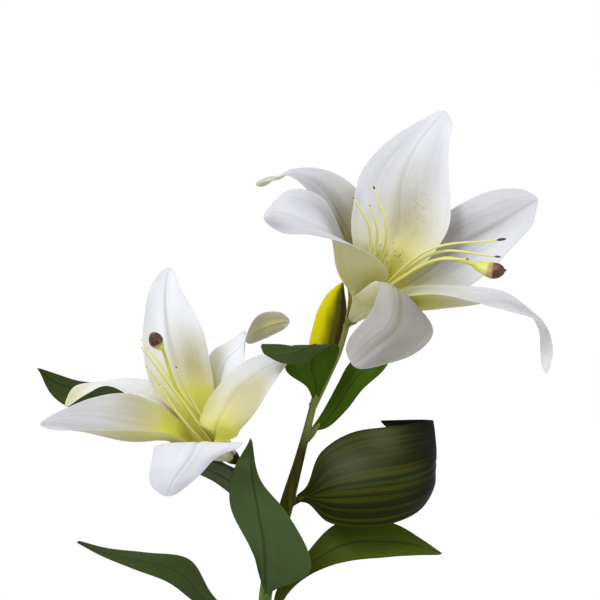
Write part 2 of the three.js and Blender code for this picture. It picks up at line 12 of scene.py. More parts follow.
import bmesh
import bpy
import numpy as np
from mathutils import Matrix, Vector


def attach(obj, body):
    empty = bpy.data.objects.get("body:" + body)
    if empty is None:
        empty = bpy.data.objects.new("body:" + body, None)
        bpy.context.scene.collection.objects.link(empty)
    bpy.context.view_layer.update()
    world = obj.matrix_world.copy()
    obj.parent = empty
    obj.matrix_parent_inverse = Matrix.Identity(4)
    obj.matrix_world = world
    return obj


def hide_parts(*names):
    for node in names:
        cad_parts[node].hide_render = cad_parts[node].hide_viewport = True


MM = 0.001
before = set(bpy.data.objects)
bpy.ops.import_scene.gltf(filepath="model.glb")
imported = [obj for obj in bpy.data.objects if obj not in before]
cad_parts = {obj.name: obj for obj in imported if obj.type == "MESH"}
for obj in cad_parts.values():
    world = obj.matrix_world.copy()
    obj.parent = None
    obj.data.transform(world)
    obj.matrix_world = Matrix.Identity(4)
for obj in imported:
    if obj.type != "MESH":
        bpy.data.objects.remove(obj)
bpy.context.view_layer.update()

# %% [markdown]
# ## Writing a finish as an expression
# A finish is a small network of shader nodes. Wired by hand it soon grows unreadable, so a socket is
# wrapped in a class that knows plus, minus and times: `1 - mask` then adds the Subtract node by itself.
# Colours never go through those Math nodes, which would turn them grey, but through `mix`.

# %% Adding a node to a tree
def plug(tree, socket, value):
    """Sets a socket, or links it where the value is itself a socket."""
    value = getattr(value, "output", value)
    if isinstance(value, bpy.types.NodeSocket):
        tree.links.new(value, socket)
    elif isinstance(value, tuple) and socket.type == "RGBA":
        socket.default_value = (*value, 1.0)
    else:
        socket.default_value = value


def add_node(tree, kind, settings=None, values=None):
    made = tree.nodes.new(kind)
    for name, value in (settings or {}).items():
        setattr(made, name, value)
    for place, value in (values or {}).items():
        plug(tree, made.inputs[place], value)
    return made


# %% A socket that can be calculated with
class Socket:
    def __init__(self, finish, output):
        self.finish = finish
        self.output = output

    def maths(self, operation, first, second=0.0):
        return self.finish.node("ShaderNodeMath", {"operation": operation}, {0: first, 1: second})

    def __add__(self, other):
        return self.maths("ADD", self, other)

    def __sub__(self, other):
        return self.maths("SUBTRACT", self, other)

    def __rsub__(self, other):
        return self.maths("SUBTRACT", other, self)

    def __mul__(self, other):
        return self.maths("MULTIPLY", self, other)

    __radd__ = __add__
    __rmul__ = __mul__

    def __abs__(self):
        return self.maths("ABSOLUTE", self)

    def between(self, low, high):
        """0 up to `low`, 1 from `high`, and an S-curve between them."""
        limits = {"From Min": low, "From Max": high}
        settings = {"interpolation_type": "SMOOTHSTEP"}
        return self.finish.node("ShaderNodeMapRange", settings, {"Value": self, **limits})


# %% A finish, with one method for every kind of node
class Finish:
    def __init__(self, name):
        self.material = bpy.data.materials.new(name)
        self.material.use_nodes = True
        self.tree = self.material.node_tree
        self.shader = self.tree.nodes["Principled BSDF"]

    def node(self, kind, settings=None, values=None, output=0):
        return Socket(self, add_node(self.tree, kind, settings, values).outputs[output])

    def paints(self, names):
        """Numbers stored at each point of the mesh, one socket for each name."""
        kind = "ShaderNodeAttribute"
        return [self.node(kind, {"attribute_name": name}, output="Fac") for name in names.split()]

    def vector(self, x, y, z):
        return self.node("ShaderNodeCombineXYZ", None, {0: x, 1: y, 2: z})

    def place(self, scale=(1, 1, 1)):
        """The point on the piece in metres, stretched by `scale`."""
        point = self.node("ShaderNodeTexCoord", output="Object")
        return self.node("ShaderNodeMapping", None, {"Vector": point, "Scale": scale})

    def height(self):
        return self.node("ShaderNodeSeparateXYZ", None, {0: self.place()}, output="Z")

    def noise(self, where, scale=1.0, detail=2.0, roughness=0.5):
        values = {"Vector": where, "Scale": scale, "Detail": detail, "Roughness": roughness}
        return self.node("ShaderNodeTexNoise", None, values)

    def mix(self, amount, under, over, blend="MIX"):
        values = {0: amount, 6: under, 7: over}
        settings = {"data_type": "RGBA", "blend_type": blend, "clamp_factor": True}
        return self.node("ShaderNodeMix", settings, values, output=2)

    def bump(self, height, depth, strength=1.0):
        """Relief as deep as `depth` in metres where `height` runs from 0 to 1."""
        values = {"Height": height, "Distance": depth, "Strength": strength}
        return self.node("ShaderNodeBump", None, values)

    def finish(self, **values):
        names = {name: name.replace("_", " ").title().replace("Ior", "IOR") for name in values}
        for name, value in values.items():
            plug(self.tree, self.shader.inputs[names[name]], value)
        return self.material


# %% [markdown]
# ## Smooth growth lines
# A petal or a stalk is a few points joined by a smooth line. A centripetal Catmull-Rom line passes
# through every point and never loops back on itself, even where points crowd together at a petal's
# foot. The frame's solids follow the same lines, so both fit each other closely.

# %% Smooth lines
def smooth_line(points, places):
    """The points of the line through `points` at `places`, from 0 at its start to 1 at its end."""
    known = np.asarray(points, float)
    spans = len(known) - 1
    before = 2 * known[0] - known[1]
    after = 2 * known[-1] - known[-2]
    padded = np.vstack([before, known, after])
    where = np.asarray(places, float) * spans
    span = np.minimum(where.astype(int), spans - 1)
    t = (where - span)[:, None]
    p0, p1, p2, p3 = (padded[span + step] for step in range(4))
    gaps = [np.sqrt(np.linalg.norm(b - a, axis=1))[:, None] for a, b in ((p0, p1), (p1, p2), (p2, p3))]
    middle = np.where(gaps[1] < 1e-4, 1.0, gaps[1])
    first = np.where(gaps[0] < 1e-4, middle, gaps[0])
    last = np.where(gaps[2] < 1e-4, middle, gaps[2])
    leave = ((p1 - p0) / first - (p2 - p0) / (first + middle) + (p2 - p1) / middle) * middle
    arrive = ((p2 - p1) / middle - (p3 - p1) / (middle + last) + (p3 - p2) / last) * middle
    bend = 3 * (p2 - p1) - 2 * leave - arrive
    twist = 2 * (p1 - p2) + leave + arrive
    return p1 + leave * t + bend * t**2 + twist * t**3


def unit(vectors):
    lengths = np.linalg.norm(vectors, axis=-1, keepdims=True)
    return vectors / np.maximum(lengths, 1e-9)


# %% From points to a piece of the plant
def put(name, data):
    """A new object in the scene."""
    made = bpy.data.objects.new(name, data)
    bpy.context.scene.collection.objects.link(made)
    return made


def mesh_of(name, points, faces):
    """A mesh from points in millimetres."""
    mesh = bpy.data.meshes.new(name)
    mesh.from_pydata((np.asarray(points) * MM).tolist(), [], faces)
    return mesh


def make_piece(name, points, faces, material, slot, nodes=(), **paint):
    """A smooth, outward-facing piece that stands in place of the solids in `nodes`."""
    mesh = mesh_of(name, points, faces)
    for label, values in paint.items():
        stored = mesh.attributes.new(label, "FLOAT", "POINT")
        stored.data.foreach_set("value", np.asarray(values, np.float32).ravel())
    mesh.calc_loop_triangles()
    corners = np.array([[mesh.vertices[i].co for i in t.vertices] for t in mesh.loop_triangles])
    volume = np.einsum("ij,ij->i", corners[:, 0], np.cross(corners[:, 1], corners[:, 2])).sum() / 6
    if volume < 0:
        mesh.flip_normals()
    mesh.shade_smooth()
    mesh.materials.append(material)
    return settle(put(name, mesh), slot, nodes)


def settle(piece, slot, nodes=()):
    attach(piece, "root")
    if nodes:
        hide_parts(*nodes)
    print(f"{piece.name}: {len(piece.data.polygons)} faces")
    return piece


# %% [markdown]
# ## How a blade is built
# Petals and leaves are the same thing to a modeller: a thin blade that cups across and bends along. Each
# row of points crosses the blade at its left edge, its midrib and its right edge. Between the rows run
# three smooth lines, and the surface is bowed between them. A groove presses into the upper face along
# the midrib and stands out as a rib below, the way a lily petal carries its keel. Edges thin out to a
# third of a millimetre, and the tip closes in a round.

# %% Where a blade gets its points
HALF_ACROSS = [0, 0.015, 0.035, 0.06, 0.09, 0.13, 0.18, 0.24, 0.31, 0.39, 0.47, 0.56, 0.65, 0.73, 0.8, 0.86]
HALF_ACROSS += [0.91, 0.95, 0.98, 1]
ACROSS = np.array([-v for v in HALF_ACROSS[:0:-1]] + HALF_ACROSS)
TIP_START = 0.94
TIP_BLUNTNESS = 2.6
ALONG = np.linspace(0, TIP_START, 58)
ALONG = np.append(ALONG, 1 - (1 - TIP_START) * (1 - np.linspace(0, 1, 14)[1:]) ** 2)
U = ALONG[:, None]
V = ACROSS[None, :]
MIDDLE_THICKNESS = 0.8
EDGE_THICKNESS = 0.3
KEEL_BREADTH = 0.07


def ease(value):
    value = np.clip(value, 0, 1)
    return value * value * (3 - 2 * value)


def normals_of(surface):
    along = np.gradient(surface, ALONG, axis=0)
    across = np.gradient(surface, ACROSS, axis=1)
    return unit(np.cross(across, along))


def lengths_of(line):
    """How far along a line each of its points lies, in millimetres."""
    steps = np.linalg.norm(np.diff(line, axis=0), axis=1)
    return np.concatenate([[0], np.cumsum(steps)])


# %% Dents and creases
FOLDS = 12
SHORTEST_FOLD = 8
LONGEST_FOLD = 32
FOLD_LEAN = 0.4


def crumple(breadth, length, depth, seed):
    """Relief of shallow folds that run mostly lengthwise, no two blades alike."""
    rough = np.random.default_rng(seed)
    relief = np.zeros(breadth.shape)
    for _ in range(FOLDS):
        period = rough.uniform(SHORTEST_FOLD, LONGEST_FOLD)
        lean = rough.normal(0, FOLD_LEAN)
        path = breadth * math.cos(lean) + length * math.sin(lean)
        wave = np.sin(2 * np.pi * path / period + rough.uniform(0, 2 * np.pi))
        relief += period / LONGEST_FOLD * wave
    return depth * relief / 2


# %% The middle surface of a blade
class Blade:
    """A blade's middle surface, with its length in millimetres and its reach from 0 to 1."""

    def __init__(self, rows, bowl, tip, wave=0, phase=0, dents=0):
        left, rib, right = (smooth_line([row[k] for row in rows], ALONG)[:, None, :] for k in range(3))
        self.length = lengths_of(rib[:, 0])[:, None]
        self.reach = self.length / self.length[-1]
        closing = np.clip(1 - (self.length[-1] - self.length) / tip, 0, 0.999)
        side = (V * (1 - closing**TIP_BLUNTNESS) ** (1 / TIP_BLUNTNESS))[..., None]
        surface = rib + (right - left) / 2 * side + ((left + right) / 2 - rib) * np.abs(side) ** bowl
        ruffle = wave * np.abs(V) ** 3 * np.sin(np.pi * U) * np.sin(5 * np.pi * U + phase + V)
        breadth = V * np.linalg.norm(right - left, axis=-1) / 2
        fade = np.sin(np.pi * U.clip(0.05, 0.95)) * (0.4 + 0.6 * np.minimum(1, np.abs(V) * 5))
        relief = ruffle + fade * crumple(breadth, self.length, dents, round(phase * 10) + len(rows))
        self.surface = surface + normals_of(surface) * relief[..., None]


# %% Close the two faces of a blade with a rounded rim
def blade_mesh(blade, crease):
    surface = blade.surface
    normals = normals_of(surface)
    keel = crease * np.exp(-((V / KEEL_BREADTH) ** 2)) * np.sin(np.pi * U.clip(0.02, 0.98)) ** 0.4
    surface = surface - normals * keel[..., None]
    fade = 1 - (1 - EDGE_THICKNESS / MIDDLE_THICKNESS) * np.abs(V) ** 5
    half = (MIDDLE_THICKNESS / 2 * fade * (1 - 0.5 * U**6))[..., None] * normals
    upper = surface + half
    lower = surface - half
    reach = np.linalg.norm(half, axis=-1)[:, [0, -1], None]
    rim_left = surface[:, 0] + unit(surface[:, 0] - surface[:, 1]) * reach[:, 0]
    rim_right = surface[:, -1] + unit(surface[:, -1] - surface[:, -2]) * reach[:, 1]
    rings = np.concatenate([upper, rim_right[:, None], lower[:, ::-1], rim_left[:, None]], axis=1)
    size = rings.shape[1]
    columns = len(ACROSS)
    faces = wrap(len(ALONG), size)
    for start, last in ((0, False), ((len(ALONG) - 1) * size, True)):
        ring = [start + i for i in range(size)]
        cap = [(ring[0], ring[1], ring[size - 2], ring[size - 1])]
        for i in range(1, columns - 1):
            cap.append((ring[i], ring[i + 1], ring[size - 3 - i], ring[size - 2 - i]))
        cap.append((ring[columns - 1], ring[columns], ring[columns + 1]))
        faces += [face if last else tuple(reversed(face)) for face in cap]
    return rings.reshape(-1, 3), faces


def wrap(rows, sides, closed=False):
    """Faces of a tube of `rows` rings, each of `sides` points."""
    faces = []
    for row in range(rows if closed else rows - 1):
        here, there = row * sides, (row + 1) % rows * sides
        for i in range(sides):
            j = (i + 1) % sides
            faces.append((here + i, here + j, there + j, there + i))
    return faces


def circle(sides):
    """The angles of the points of a ring."""
    return np.arange(sides) * 2 * np.pi / sides


def closed_tube(rings, low, high):
    """Points and faces of a stack of rings that is closed by a point at each end."""
    sides = len(rings[0])
    points = np.concatenate([*rings, [low, high]])
    faces = wrap(len(rings), sides)
    first, last = len(points) - 2, len(points) - 1
    top = (len(rings) - 1) * sides
    for i in range(sides):
        j = (i + 1) % sides
        faces.append((j, i, first))
        faces.append((top + i, top + j, last))
    return points, faces


def around(values):
    """A value for each point of the middle surface, spread over the rings of the closed blade."""
    values = np.broadcast_to(values, (len(ALONG), len(ACROSS)))
    return np.concatenate([values, values[:, -1:], values[:, ::-1], values[:, :1]], axis=1)


def faces_down():
    """0 on a blade's upper face, 1 on its underside."""
    upper = np.zeros((len(ALONG), len(ACROSS)))
    rim = np.full((len(ALONG), 1), 0.5)
    return np.concatenate([upper, rim, upper + 1, rim], axis=1)


# %% [markdown]
# ## The blooms
# An oriental lily has six petals in two rings of three: broad inner ones, and narrower outer ones behind
# them. All six stand in a narrow funnel on the flower stalk's swollen end, and then lean out. The funnel
# is worked out from rings round the bloom's axis, the open part follows listed points, because no two
# petals of a real bloom bend alike. Each row holds x, y and z of the left edge, the midrib and the
# right edge. Before the rows stand a petal's ring and its turn round the axis in degrees.

# %% Rings of the funnel
PETAL_BOWL = 1.8
PETAL_RUFFLE = 1.2
# Distance along the bloom's axis, radius, and half a petal's breadth there in degrees.
FUNNEL = {
    "inner": [(0.4, 3.0, 50), (22, 11, 40)],
    "outer": [(0.4, 4.4, 48), (22, 14, 40)],
}


def bloom_frame(bloom):
    """Gives points round a bloom's axis by distance along it, radius, and turn from straight up."""
    centre = np.array(bloom["base"], float)
    along = unit(np.array(bloom["axis"], float))
    up = unit(np.array([0, 0, 1]) - along * along[2])
    side = np.cross(up, along)

    def spot(distance, radius, turn):
        angle = math.radians(turn)
        out = up * radius * math.cos(angle) + side * radius * math.sin(angle)
        return centre + along * distance + out

    return spot


# %% Petals of the right bloom
RIGHT_PETALS = {
    "top": ("inner", 30, [
        [57, -44, 431, 80, -32, 428, 103, -42, 419], [56, -33, 452, 86, -20, 443, 118, -30, 441],
        [62, -18, 477, 89, -8, 473, 118, -18, 475], [84, -6, 501, 101, 0, 498, 120, -6, 499],
        [110, 4, 517.4, 117.2, 4, 517.8, 122.7, 3, 511],
    ]),
    "right": ("outer", 90, [
        [92, -21, 424, 100, -26, 411, 104, -35, 396], [117, -12, 450, 122, -21, 428, 128, -26, 402],
        [144, -14, 465, 152, -18, 445, 157, -30, 427], [162, -12, 467, 167, -14, 454, 172, -20, 443],
        [172, -12, 465, 176.4, -12, 460, 175.4, -14, 453],
    ]),
    "lower": ("inner", 150, [
        [97, -35, 404, 96, -46, 389, 86, -62, 396], [127, -33, 403, 123, -50, 391.5, 117, -70, 398],
        [160, -22, 398, 156, -42, 394, 152, -62, 389],
        [174.8, -26, 379.6, 177, -38, 381.6, 176.9, -48, 378.5],
        [176.5, -30, 364, 182, -36, 364, 183.5, -42, 363],
        [177.5, -33, 350.5, 180, -36, 348.3, 181.7, -38, 350.5],
    ]),
    "front": ("outer", 210, [
        [84, -47, 384, 72, -58, 390, 57, -60, 397], [99, -60, 389, 84, -75, 402, 72, -72, 407],
        [106, -76, 375, 84, -88, 379, 68, -84, 389], [93, -82, 361, 69, -88, 365, 53, -82, 371],
        [62, -82, 351, 56, -82, 354, 51, -80, 362],
    ]),
    "left": ("inner", 270, [
        [78, -60, 411, 48, -54, 412, 56, -31, 421], [59, -84, 429, 42, -74, 436, 46, -46, 444],
        [32, -88, 434, 26, -72, 444, 34, -52, 462], [12, -78, 437, 10, -68, 450, 17, -58, 465],
        [1, -64, 443, 0, -62, 448, 3, -60, 454],
    ]),
    "back": ("outer", 330, [
        [48, -29, 420, 57, -25, 430, 70, -26, 432], [42, -34, 447, 47, -23, 453, 59, -21, 466],
        [30, -34, 463, 34, -18, 470, 42, -10, 477.3], [17, -30, 473, 16, -20, 476.5, 17, -8, 479.5],
        [9, -27, 474.5, 9, -26, 473, 8, -17, 475.5], [1, -22, 473.5, 1, -28, 471, 2, -23, 468.8],
        [-4.6, -22, 471.6, -5.6, -26, 469.4, -4.4, -24, 467],
    ]),
}

# %% Petals of the left bloom
LEFT_PETALS = {
    "top": ("inner", 330, [
        [-70, -24, 337, -52, -14, 340, -33, -18, 341], [-79, -20, 372, -61, -10, 372, -38, -18, 371],
        [-76, -8, 397, -64, -2, 395, -49, -8, 392], [-72.6, -1, 407, -63.7, 2, 408, -56, -1, 406],
        [-67.5, 3, 414.5, -62.4, 4, 416, -58, 3, 413],
    ]),
    "back": ("outer", 30, [
        [-36, 0, 359, -27, -6, 352, -15, -14, 350], [-22, 10, 369.5, -16, 2, 365, -12.5, -8, 361],
        [-14, 14, 374, -13, 5, 370, -12.6, -4, 367.8], [-12.3, 15, 366.2, -11.8, 6, 371, -12, -2, 375],
        [-6, 14, 368, -7, 8, 375, -8, 0, 381], [0, 11, 370, 0, 8, 378, 0, 4, 386.5],
        [10, 10, 374.5, 11, 8, 381, 10, 6, 387], [15, 8, 377.5, 16, 8, 381, 15, 7, 384.5],
    ]),
    "right": ("inner", 90, [
        [-41, -36, 315, -31, -41, 312, -18, -40, 308.6], [-34, -27, 333, -28, -45, 321, -15, -44, 312],
        [-24, -24, 347, -17, -38, 338, -2, -46, 329], [-6, -18, 358.5, 0, -28, 351, 7, -40, 344],
        [8.6, -18, 362, 15, -20, 357.5, 13, -25, 351.5],
    ]),
    "front": ("outer", 150, [
        [-14, -48, 303, -42, -54, 305, -69, -50, 303], [-31, -58, 294, -46, -66, 296, -70, -62, 294],
        [-43, -64, 283, -56, -68, 282, -72, -64, 281], [-53, -63, 273.5, -61, -64, 271.5, -69, -63, 275],
    ]),
    "left": ("inner", 210, [
        [-58, -46, 309, -62, -38, 306, -54, -24, 318], [-88, -58, 313, -88, -46, 307, -83, -28, 334],
        [-113, -62, 313, -113, -50, 314, -111, -34, 332],
        [-127, -58, 313, -129, -52, 317, -127, -44, 326],
        [-136.5, -55, 313, -141.5, -52, 316.5, -136, -48, 321.2],
    ]),
    "far": ("outer", 270, [
        [-67, -26, 316, -63, -14, 327, -54, -3, 338], [-83, -18, 331, -86, -8, 337, -82, 6, 342.5],
        [-102, -18, 339, -104, -6, 341, -105, 6, 343], [-116, -18, 334, -120, -8, 338, -123, 2, 339],
        [-127, -14, 326, -129, -10, 326, -130, -6, 328],
    ]),
}

# %% The two blooms
BLOOMS = {
    "right": {
        "base": [57, -10, 384],
        "axis": [0.42, -0.7, 0.58],
        "petals": RIGHT_PETALS,
        "filaments": [
            [[78, -44, 438], [70, -50, 465]], [[105, -51, 427], [147.6, -50, 433]],
            [[109, -48, 425], [146, -56, 422.5]], [[106, -58, 419.6], [127, -70, 420.7]],
            [[67, -54, 439], [57, -62, 458.6]], [[72, -48, 437], [67, -56, 454]],
        ],
        "filament_turn": 30,
        "style": [[114, -60, 421.5], [129, -64, 418.3], [144, -68, 413.1], [151.5, -69.5, 413.6]],
    },
    "left": {
        "base": [-22, -10, 294],
        "axis": [-0.68, -0.5, 0.53],
        "petals": LEFT_PETALS,
        "filaments": [
            [[-46, -41, 331], [-55, -60, 352]], [[-54, -50, 334], [-76.5, -72, 365]],
            [[-54, -46, 322], [-65.5, -60, 341.4]], [[-58, -36, 330], [-74, -50, 352]],
            [[-56, -28, 334], [-68, -36, 350.2]], [[-57, -30, 341], [-78.5, -36, 369.5]],
        ],
        "filament_turn": 60,
        "style": [[-55.4, -46, 338], [-64.1, -50, 363.3], [-68.3, -62, 369.8], [-69, -67, 373.6]],
    },
}

# %% [markdown]
# ## The petal finish
# A lily petal is white only at first sight. Its throat is a yellow green that fades outwards through
# cream, fine veins run from foot to tip and show as a cool grey, the midrib is a soft beige crease, and
# the outside of the funnel is cream with a paler rib. Where the colour lies belongs to the growth of the
# petal, so it is painted on its points as masks: green, cream, and where it is crinkled or freckled. One
# more mask is painted shade, darkest where the petal lies in shadow. The shader adds what is finer than
# the points: veins, a faint crinkle and a satin surface that lets a little light through.

# %% Petal finish
def petal_finish():
    f = Finish("petal_white")
    across, along, under, seed = f.paints("across along under seed")
    green, cream, grey, crinkled = f.paints("green cream grey crinkled")
    streaks = f.noise(f.vector(across * 11, along * 1.5, seed * 9), detail=4)
    crinkle = f.noise(f.vector(across * 4, along * 9, seed * 5), detail=3)
    clouds = f.noise(f.vector(across * 1.1, along * 2.6, seed * 3), detail=3)
    folds = f.noise(f.vector(across * 9, along * 24, seed), detail=2)
    grain = f.noise(f.place(), scale=1400, detail=2)
    veins = streaks.between(0.45, 0.75)
    wander = (streaks - 0.5) * 0.5 + (clouds - 0.5) * 0.9
    white = f.mix(clouds.between(0.42, 0.7) * 0.4, (0.85, 0.865, 0.915), (0.72, 0.73, 0.78))
    white = f.mix(veins * 0.22, white, (0.66, 0.66, 0.70))
    warm = f.mix(cream + wander * cream, white, (0.62, 0.58, 0.35))
    throat = f.mix(green.between(0.4, 1), (0.72, 0.69, 0.30), (0.72, 0.70, 0.11))
    colour = f.mix((green + wander * green).between(0, 1.05), warm, throat)
    rib = (1 - abs(across) * 8).between(0, 1)
    keel = f.mix(under, (0.48, 0.46, 0.27), (0.80, 0.71, 0.42))
    colour = f.mix(rib * (1 - along * 0.8) * (under * 0.4 + 0.45), colour, keel)
    # Painted shade: where the grey mask lies, the colour is multiplied by a dull neutral tone.
    drift = (streaks - 0.5) * 0.25 + (clouds - 0.5) * 0.6
    colour = f.mix(grey + drift * grey, colour, (0.42, 0.405, 0.41), "MULTIPLY")
    height = veins * 0.4 + crinkle * 0.8 + grain * 0.12 + folds.between(0.35, 0.7) * crinkled * 5
    return f.finish(
        base_color=colour, roughness=0.52 + veins * 0.12, normal=f.bump(height, 0.0004, 0.6),
        specular_ior_level=0.25, subsurface_weight=0.3, subsurface_radius=(1.0, 0.95, 0.7),
        subsurface_scale=0.003,
    )


PETAL = petal_finish()

# %% [markdown]
# ## Airbrushing the petals
# Every petal gets the same start: green in the throat, cream beyond it, cream on the outside of the
# funnel, and a little painted shade over the outside and over the inner face past the throat. Then each
# one gets its own soft spots: creamier or greener, as on the real bloom, and painted shade where it lies
# more in shadow, or under another petal. A spot is a mask and a face, its place along and across, its
# length, breadth and strength.

# %% Soft spots
# A breadth of ALL takes in the whole width of the petal.
ALL = 9
# Spots of grey are painted shade where a petal lies in shadow, and painted shadow where another petal
# covers it; a negative strength lightens the petal where it is lit.
TINTS = {
    "right_top": [
        ("grey", "in", 0.62, -0.55, 0.3, 0.6, 0.3), ("grey", "in", 0.72, 0.6, 0.25, 0.5, 0.35),
        ("cream", "in", 0.46, 0.15, 0.18, 0.6, 0.7), ("grey", "in", 0.55, 0.1, 0.18, 0.4, 0.3),
        ("green", "in", 0.36, 0.25, 0.12, 0.6, 0.35), ("crinkled", "in", 0.52, 0.4, 0.13, 0.3, 1),
    ],
    "right_right": [
        ("grey", "in", 0.55, -0.3, 0.25, 0.9, 0.8), ("grey", "in", 0.95, 0, 0.2, ALL, 0.3),
        ("grey", "in", 0.66, 0, 0.2, 0.1, 0.3),
    ],
    "right_lower": [
        ("grey", "in", 0.6, 0.2, 0.25, 1, 0.3), ("cream", "in", 0.5, 0.5, 0.25, 0.6, 0.2),
        ("green", "out", 0.3, 0, 0.3, ALL, 0.9), ("grey", "out", 0.35, 0, 0.3, ALL, 0.47),
        ("grey", "out", 1, 0, 0.25, ALL, -0.4), ("cream", "out", 1, 0, 0.25, ALL, -0.2),
        ("grey", "in", 0.85, 0, 0.12, ALL, 0.2),
        ("crinkled", "in", 0.75, 0, 0.2, ALL, 0.5),
    ],
    "right_front": [
        ("grey", "in", 0.75, 0, 0.6, ALL, 0.8), ("cream", "in", 0.75, 0, 0.4, ALL, 0.35),
        ("cream", "in", 0.6, 0, 0.3, 0.12, 0.25), ("green", "out", 0.35, 0, 0.25, ALL, 0.45),
    ],
    "right_left": [
        ("grey", "in", 0.65, 0, 0.4, ALL, 0.45), ("grey", "in", 0.96, -0.6, 0.1, 0.6, 0.4),
        ("grey", "out", 0.5, 0, 0.4, ALL, 0.15), ("cream", "out", 0.5, 0, 0.4, ALL, 0.4),
        ("grey", "in", 0.55, 0.8, 0.2, 0.4, 0.4), ("green", "out", 0.4, 0.1, 0.35, ALL, 0.6),
    ],
    "right_back": [
        ("grey", "in", 0.5, 0, 0.4, ALL, 0.75), ("cream", "in", 0.35, 0, 0.2, ALL, 0.5),
        ("green", "out", 0.97, 0, 0.14, ALL, 0.4), ("grey", "out", 0.97, 0, 0.14, ALL, 0.3),
    ],
    "left_top": [
        ("cream", "in", 0.53, 0.45, 0.2, 0.5, 0.6), ("grey", "in", 0.55, 0.45, 0.26, 0.6, 0.35),
        ("grey", "in", 0.8, -0.4, 0.3, 0.6, -0.15),
        ("green", "in", 0.3, 0.3, 0.16, 0.9, 0.55), ("grey", "in", 0.7, -0.1, 0.2, 0.07, 0.35),
    ],
    "left_back": [
        ("cream", "in", 0.4, -0.7, 0.16, 0.45, 0.9), ("cream", "in", 0.5, 0.6, 0.3, 0.7, -0.7),
        ("cream", "out", 0.9, 0, 0.2, ALL, 0.5), ("green", "out", 0.86, 0.1, 0.2, 0.3, 0.7),
        ("grey", "out", 0.9, 0, 0.2, ALL, 0.3), ("grey", "in", 0.45, 0, 0.3, ALL, -0.15),
    ],
    "left_right": [
        ("cream", "in", 0.55, 0.45, 0.35, 0.6, 0.9), ("green", "in", 0.38, 0.4, 0.2, 0.8, 0.3),
        ("grey", "in", 0.6, 0, 0.4, ALL, 0.12),
    ],
    "left_front": [
        ("cream", "in", 0.5, 0, ALL, ALL, -1), ("green", "in", 0.5, 0, ALL, ALL, -1),
        ("grey", "in", 0.5, 0, ALL, ALL, 0.12),
    ],
    "left_left": [
        ("grey", "in", 0.85, 0, 0.45, ALL, 0.55), ("cream", "in", 0.45, 0, 0.22, ALL, 0.7),
        ("grey", "out", 0.4, 0, 0.4, ALL, 0.25),
        ("green", "in", 0.35, 0.3, 0.2, ALL, 0.7), ("green", "out", 0.4, 0, 0.4, ALL, 0.6),
        ("cream", "out", 0.5, 0, 0.4, ALL, 0.4),
    ],
    "left_far": [
        ("cream", "in", 0.95, 0, 0.14, ALL, 0.8), ("green", "in", 0.97, 0, 0.08, ALL, 0.3),
        # A painted shadow where the top petal crosses this one.
        ("grey", "in", 0.35, 0.5, 0.1, 0.5, 0.6), ("grey", "in", 0.6, 0, 0.3, ALL, -0.15),
    ],
}
# Where along a petal, in millimetres, the throat's green and the cream round it fade out, and where the
# freckles start and end.
THROAT = (16, 82)
HALO = (46, 100)
FRECKLED = ((28, 36), (50, 60))
FRECKLED_BREADTH = 0.5


def triples(rows):
    """Rows of nine numbers as rows of three points."""
    return [np.reshape(row, (3, 3)) for row in rows]


def make_blade(name, blade, crease, finish, slot, seed, masks):
    """A petal or leaf in place of the solid of that name."""
    points, faces = blade_mesh(blade, crease)
    under = faces_down()
    make_piece(
        name + "_skin", points, faces, finish, slot, [name],
        across=around(V), along=around(blade.reach), under=under, seed=0 * under + seed, **masks,
    )


def soft_spot(blade, reach, side, length, breadth):
    """1 in the middle of an airbrushed spot, fading round it."""
    return np.exp(-(((blade.reach - reach) / length) ** 2) - ((V - side) / breadth) ** 2)


def petal_masks(name, blade):
    """The five masks over the rings of one petal."""
    under = faces_down()
    length = around(blade.length)
    throat, halo, start, end = (1 - ease((length - a) / (b - a)) for a, b in (THROAT, HALO, *FRECKLED))
    freckled = end - start
    masks = {
        "green": throat * (1 - 0.7 * under),
        "cream": 0.55 * halo * (1 - under) + (0.25 + 0.7 * halo) * under,
        # Painted shade: a little over the outside, and over the inner face past the throat.
        "grey": 0.18 * under + 0.15 * (1 - throat) * (1 - under),
        "crinkled": 0 * under,
        "freckled": freckled * (1 - under) * around(np.abs(V) < FRECKLED_BREADTH),
    }
    for mask, face, *spot, strength in TINTS[name]:
        painted = under if face == "out" else 1 - under
        masks[mask] = masks[mask] + strength * around(soft_spot(blade, *spot)) * painted
    return {mask: values.clip(0, 1) for mask, values in masks.items()}


# %% Grow the petals
PETAL_CREASE = 0.7
PETAL_TIP = 5
PETAL_DENTS = 0.3
for side, bloom in BLOOMS.items():
    spot = bloom_frame(bloom)
    for index, (place, (ring, turn, rows)) in enumerate(bloom["petals"].items()):
        foot = [
            [spot(distance, radius, turn + step * span) for step in (-1, 0, 1)]
            for distance, radius, span in FUNNEL[ring]
        ]
        name = f"petal_{side}_{place}"
        blade = Blade(foot + triples(rows), PETAL_BOWL, PETAL_TIP, PETAL_RUFFLE, index, PETAL_DENTS)
        masks = petal_masks(f"{side}_{place}", blade)
        make_blade(name, blade, PETAL_CREASE, PETAL, "petal", 0.37 * index + len(side), masks)

# %% [markdown]
# ## Stamens and pistil
# From the middle of each bloom rise six thin filaments, each carrying a small dark anther at its tip,
# and one thicker style that ends in a swollen stigma. They are tapered tubes: a ring of points carried
# along a smooth line and turned as little as possible on the way, so that nothing twists.

